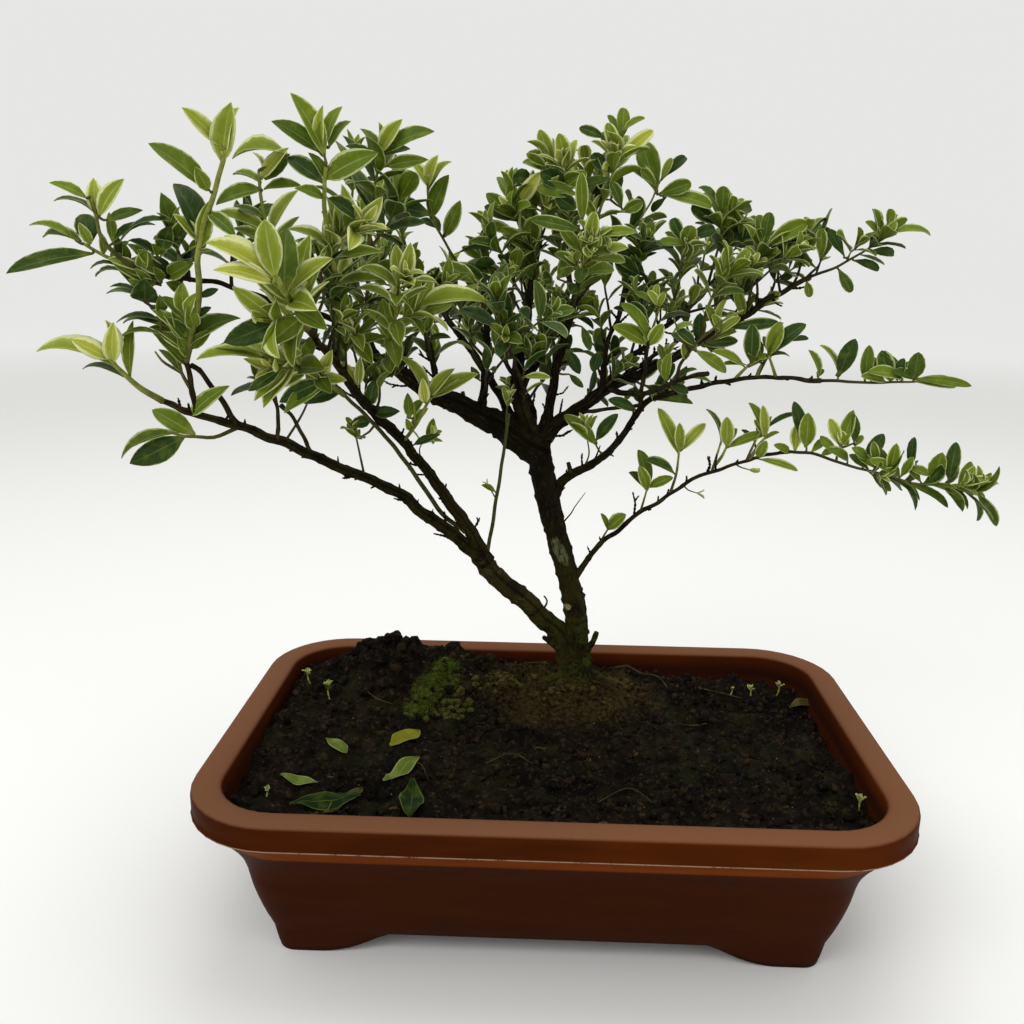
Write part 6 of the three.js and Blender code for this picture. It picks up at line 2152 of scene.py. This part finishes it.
def colour_setting(name, about, code):
    """A colour to choose; code is its default."""
    return FloatVectorProperty(name=name, description=about, default=linear(code),
                               subtype="COLOR", min=0, max=1)


def length_setting(name, about, default, least):
    """A length to choose, in metres."""
    return FloatProperty(name=name, description=about, default=default, min=least, unit="LENGTH")


def number_setting(name, about, default, least, most):
    """A plain number to choose."""
    return FloatProperty(name=name, description=about, default=default, min=least, max=most)


class SerissaTray(bpy.types.PropertyGroup):
    """The plastic tray."""

    length: length_setting("Length", "Length of the rim", 0.300, 0.1)
    width: length_setting("Width", "Width of the rim", 0.200, 0.1)
    height: length_setting("Height", "Height from the feet to the rim", 0.079, 0.03)
    corner: length_setting("Corner", "Radius of the rim's corners", 0.040, 0.01)
    tight_corner: length_setting("Tight corner", "Least corner radius", 0.008, 0.001)
    band: length_setting("Band", "Height of the upright band under the rim", 0.0106, 0.002)
    seam: length_setting("Seam", "How far the mould seam stands out", 0.0003, 0.0)
    drain: length_setting("Drain hole", "Radius of the drain holes", 0.005, 0.001)
    plastic: colour_setting("Plastic", "Colour of the plastic", 0x3D1905)
    dust: colour_setting("Dust", "Colour of dried soil on the plastic", 0x6B4A33)


class SerissaSoil(bpy.types.PropertyGroup):
    """The soil, its crumbs and moss."""

    cells_long: IntProperty(name="Cells along", description="Grid cells along the soil",
                            default=250, min=20)
    cells_wide: IntProperty(name="Cells across", description="Grid cells across the soil",
                            default=164, min=20)
    crumbs: IntProperty(name="Crumbs", description="How many small crumbs are tried",
                        default=4200, min=0)
    clods: IntProperty(name="Clods", description="How many clods are tried", default=420, min=0)
    wet: colour_setting("Wet soil", "Colour of damp soil", 0x0E0A06)
    dry: colour_setting("Dry soil", "Colour of dried crumbs", 0x4A3D2C)
    moss: colour_setting("Moss", "Colour of fresh moss", 0x36450A)
    dead_moss: colour_setting("Dry moss", "Colour of dry moss", 0x44351D)


class SerissaWood(bpy.types.PropertyGroup):
    """Trunk and limbs."""

    bark_depth: number_setting("Bark depth", "Relief as a share of the radius", 0.12, 0.0, 0.5)
    twiglets: number_setting("Twiglets", "How thickly dead twiglets are set", 1.0, 0.1, 4.0)
    bark: colour_setting("Bark", "Colour of old bark", 0x141008)
    flakes: colour_setting("Flakes", "Colour of the raised flakes", 0x383119)


class SerissaLeaves(bpy.types.PropertyGroup):
    """Leaves and the shoots that bear them."""

    leaf_width: number_setting("Leaf width", "Width as a share of the length", 0.39, 0.1, 0.8)
    set_width: number_setting("Set leaf width", "Multiplies the width of the leaves set one by one",
                              0.92, 0.2, 2.0)
    leaf_size: number_setting("Leaf size", "Multiplies every leaf's length", 1.06, 0.3, 2.0)
    young_size: number_setting("Young leaf size", "Multiplies the length of young leaves once more",
                               0.82, 0.3, 2.0)
    inner_leaf: FloatVectorProperty(name="Inner leaves", size=2, default=(11.5, 16.5), min=2,
                                    description="Least and most length inside the crown, in mm")
    inner_twigs: number_setting("Inner twigs", "How thickly they are set", 1.2, 0.1, 4.0)
    pair_gap: number_setting("Pair gap", "Most room between pairs, as a share of a leaf's length",
                             0.47, 0.1, 2.0)
    tip_gap: number_setting("Tip gap", "Room between the pairs at a tip, as the same share",
                            0.14, 0.02, 1.0)
    leafy_share: number_setting("Leafy share", "Share of a twig with leaves", 0.78, 0.1, 1.0)
    side_shoots: number_setting("Side shoots", "Chance of one at each leaf", 0.30, 0.0, 1.0)
    dark: colour_setting("Dark leaf", "Colour of old leaves", 0x233B0C)
    mature: colour_setting("Mature leaf", "Colour of grown leaves", 0x637610)
    young: colour_setting("Young leaf", "Colour of new leaves", 0xA6AA3A)
    cream: colour_setting("Margin", "Colour of margins and midribs", 0xCBCF98)


class SerissaStage(bpy.types.PropertyGroup):
    """Floor, lights and camera."""

    floor: colour_setting("Floor", "Colour of the floor", 0xE6E6E4)
    floor_radius: length_setting("Floor radius", "Radius of the round floor", 30.0, 1.0)
    key: FloatProperty(name="Key light", description="Power of the main softbox", default=9.0,
                       min=0.0, unit="POWER")
    fill: FloatProperty(name="Fill light", description="Power of the softbox opposite",
                        default=2.5, min=0.0, unit="POWER")
    top: FloatProperty(name="Top light", description="Power of the softbox overhead",
                       default=8.0, min=0.0, unit="POWER")
    sky: FloatProperty(name="Sky", description="Strength of the light from all round",
                       default=0.88, min=0.0)


# ---- Operators -------------------------------------------------------------------------------

def bark_finish(context):
    """The finish of all wood that has bark."""
    wood = context.scene.serissa_wood
    return finish_named("flaking_bark", rough_bark, tuple(wood.bark), tuple(wood.flakes))


def leaf_finish(context):
    """The finish of all living leaves."""
    leaves = context.scene.serissa_leaves
    return finish_named("variegated_leaf", serissa_leaf, tuple(leaves.dark),
                        tuple(leaves.mature), tuple(leaves.young), tuple(leaves.cream))


def softbox(name, place, aim, size, power):
    """A square area light that looks at a point."""
    lamp = bpy.data.lights.new(name, "AREA")
    lamp.shape = "SQUARE"
    lamp.size = size
    lamp.energy = power
    light = bpy.data.objects.new(name, lamp)
    light.location = place
    light.rotation_euler = (Vector(aim) - Vector(place)).to_track_quat("-Z", "Y").to_euler()
    bpy.context.scene.collection.objects.link(light)


class SERISSA_OT_tray(bpy.types.Operator):
    """Builds the plastic tray with its rim, mould seam, arched feet and drain holes"""

    bl_idname = "serissa.tray"
    bl_label = "Tray"

    def execute(self, context):
        settings = context.scene.serissa_tray
        mesh = drilled(mesh_from(tray_shape(settings), "bonsai_tray"), settings.drain)
        mesh.shade_smooth()
        finish = finish_named("moulded_brown_plastic", moulded_plastic,
                              tuple(settings.plastic), tuple(settings.dust))
        add_piece("bonsai_tray", mesh, finish, "tray", ["tray"])
        return {"FINISHED"}


class SERISSA_OT_soil(bpy.types.Operator):
    """Fills the tray with crumbly soil, clods, moss and thin roots"""

    bl_idname = "serissa.soil"
    bl_label = "Soil and Moss"

    def execute(self, context):
        settings = context.scene.serissa_soil
        tray = context.scene.serissa_tray
        earth = finish_named("damp_potting_soil", damp_soil, tuple(settings.wet),
                             tuple(settings.dry))
        moss = finish_named("cushion_moss", soft_moss, tuple(settings.moss),
                            tuple(settings.dead_moss))
        bark = bark_finish(context)
        bed = mesh_from(soil_shape(settings, tray), "soil_bed")
        bed.shade_smooth()
        add_piece("soil_bed", bed, earth, "soil", ["soil"])
        add_piece("soil_crumbs", soil_crumbs(settings, tray).mesh("soil_crumbs"), earth, "soil")
        add_piece("moss_cushions", moss_cushions().mesh("moss_cushions"), moss, "soil")
        add_piece("thin_roots", thin_roots().mesh("thin_roots"), bark, "bark")
        return {"FINISHED"}


class SERISSA_OT_wood(bpy.types.Operator):
    """Grows the trunk, limbs, surface roots and dead twiglets with rough bark"""

    bl_idname = "serissa.wood"
    bl_label = "Trunk and Limbs"

    def execute(self, context):
        settings = context.scene.serissa_wood
        wood = wood_pieces(Tree(), settings).mesh("rough_wood")
        add_piece("rough_wood", wood, bark_finish(context), "bark", ["trunk_and_limbs"])
        return {"FINISHED"}


class SERISSA_OT_sprays(bpy.types.Operator):
    """Grows every leafy spray of the crown, and the lone sprigs on the limbs"""

    bl_idname = "serissa.sprays"
    bl_label = "Leafy Sprays"

    def execute(self, context):
        settings = context.scene.serissa_leaves
        finish = leaf_finish(context)
        tree = Tree()
        total = 0
        for index, (name, tone, *_) in enumerate(SPRAYS):
            gathering, count = build_spray(tree, settings, index)
            total += count
            mesh = gathering.mesh("leafy_" + name)
            add_piece("leafy_" + name, mesh, finish, "leaf_" + tone, ["spray_" + name])
        gathering, count = inner_twigs(tree, settings)
        total += count
        add_piece("inner_twigs", gathering.mesh("inner_twigs"), finish, "leaf_dark")
        sprigs = lone_shoots(tree, settings).mesh("lone_sprigs")
        add_piece("lone_sprigs", sprigs, finish, "leaf_mature")
        self.report({"INFO"}, f"{total} leaves")
        return {"FINISHED"}


class SERISSA_OT_litter(bpy.types.Operator):
    """Lays the dropped leaves on the soil and plants the small seedlings"""

    bl_idname = "serissa.litter"
    bl_label = "Dropped Leaves and Seedlings"

    def execute(self, context):
        fresh = finish_named("dropped_fresh_leaf", dropped_leaf, linear(0x4A5A19),
                             linear(0x8A9052))
        yellow = finish_named("dropped_yellow_leaf", dropped_leaf, linear(0x66660B),
                              linear(0x7A7C2D))
        green = finish_named("dropped_green_leaf", dropped_leaf, linear(0x0F1F03),
                             linear(0x4A5C20))
        dry = finish_named("dropped_dry_leaf", dropped_leaf, linear(0x36310F),
                           linear(0x625834))
        kinds = {"fallen_leaf_pale": fresh, "fallen_leaf_yellow": yellow,
                 "fallen_leaf_long": fresh, "fallen_leaf_small": fresh}
        for name, x, y, heading, length, wide, tone in FALLEN:
            title = "dropped" + name[len("fallen"):]
            mesh = dropped_leaf_mesh(title, x, y, heading, length, wide)
            slot = "fallen_pale" if tone == "young" else "fallen_green"
            add_piece(title, mesh, kinds.get(name, green), slot, [name])
        for title, x, y, heading, length, wide, slot in WITHERED:
            mesh = dropped_leaf_mesh(title, x, y, heading, length, wide)
            add_piece(title, mesh, dry, slot)
        sprouts = seedlings(context.scene.serissa_leaves)
        add_piece("seedlings", sprouts.mesh("seedlings"), leaf_finish(context), "leaf_young")
        return {"FINISHED"}


class SERISSA_OT_stage(bpy.types.Operator):
    """Sets out the pale floor, the soft lights and the camera"""

    bl_idname = "serissa.stage"
    bl_label = "Stage"

    def execute(self, context):
        settings = context.scene.serissa_stage
        shape = bmesh.new()
        bmesh.ops.create_circle(shape, cap_ends=True, segments=96, radius=settings.floor_radius)
        bmesh.ops.translate(shape, vec=(0, 0, -0.0004), verts=shape.verts[:])
        floor = bpy.data.objects.new("floor", mesh_from(shape, "floor"))
        floor.data.materials.append(finish_named("pale_floor", plain_surface,
                                                 tuple(settings.floor)))
        context.scene.collection.objects.link(floor)
        world = bpy.data.worlds.new("soft_sky")
        world.use_nodes = True
        sky = world.node_tree.nodes["Background"]
        sky.inputs["Color"].default_value = (*linear(0xF4F4F2), 1)
        sky.inputs["Strength"].default_value = settings.sky
        context.scene.world = world
        context.scene.view_settings.view_transform = "Standard"
        softbox("key_softbox", (-0.75, -0.95, 1.25), (0, 0, 0.16), 0.9, settings.key)
        softbox("fill_softbox", (1.1, -0.7, 0.7), (0, 0, 0.16), 0.9, settings.fill)
        softbox("top_softbox", (0.1, 0.35, 1.5), (0, 0, 0.16), 1.1, settings.top)
        camera = bpy.data.objects.new("camera", bpy.data.cameras.new("camera"))
        camera.data.lens = camera.data.sensor_width * VIEW_SCALE / (2 * VIEW_MIDDLE)
        turn = Matrix((EYE_RIGHT, EYE_UP, -EYE_AHEAD)).transposed().to_4x4()
        camera.matrix_world = Matrix.Translation(EYE) @ turn
        context.scene.collection.objects.link(camera)
        context.scene.camera = camera
        return {"FINISHED"}


OPERATORS = (SERISSA_OT_tray, SERISSA_OT_soil, SERISSA_OT_wood, SERISSA_OT_sprays,
             SERISSA_OT_litter, SERISSA_OT_stage)
SETTINGS = {"serissa_tray": SerissaTray, "serissa_soil": SerissaSoil,
            "serissa_wood": SerissaWood, "serissa_leaves": SerissaLeaves,
            "serissa_stage": SerissaStage}


class SERISSA_PT_panel(bpy.types.Panel):
    """Lists the steps that build the bonsai, with the sizes and colours they use"""

    bl_idname = "SERISSA_PT_panel"
    bl_label = "Serissa Bonsai"
    bl_space_type = "VIEW_3D"
    bl_region_type = "UI"
    bl_category = "Bonsai"

    def draw(self, context):
        for operator in OPERATORS:
            self.layout.operator(operator.bl_idname)
        for name, group in SETTINGS.items():
            box = self.layout.box()
            box.label(text=group.__doc__)
            for key in group.__annotations__:
                box.prop(getattr(context.scene, name), key)


def register():
    for group in SETTINGS.values():
        bpy.utils.register_class(group)
    for operator in OPERATORS:
        bpy.utils.register_class(operator)
    bpy.utils.register_class(SERISSA_PT_panel)
    for name, group in SETTINGS.items():
        setattr(bpy.types.Scene, name, PointerProperty(type=group))


def unregister():
    for name in SETTINGS:
        delattr(bpy.types.Scene, name)
    bpy.utils.unregister_class(SERISSA_PT_panel)
    for operator in reversed(OPERATORS):
        bpy.utils.unregister_class(operator)
    for group in SETTINGS.values():
        bpy.utils.unregister_class(group)


def main():
    register()
    bpy.ops.serissa.tray()
    bpy.ops.serissa.soil()
    bpy.ops.serissa.wood()
    bpy.ops.serissa.sprays()
    bpy.ops.serissa.litter()
    bpy.ops.serissa.stage()
    for template in Template.made.values():
        bpy.data.meshes.remove(template.mesh)
    Template.made.clear()
    bpy.context.view_layer.update()


if __name__ == "__main__":
    main()
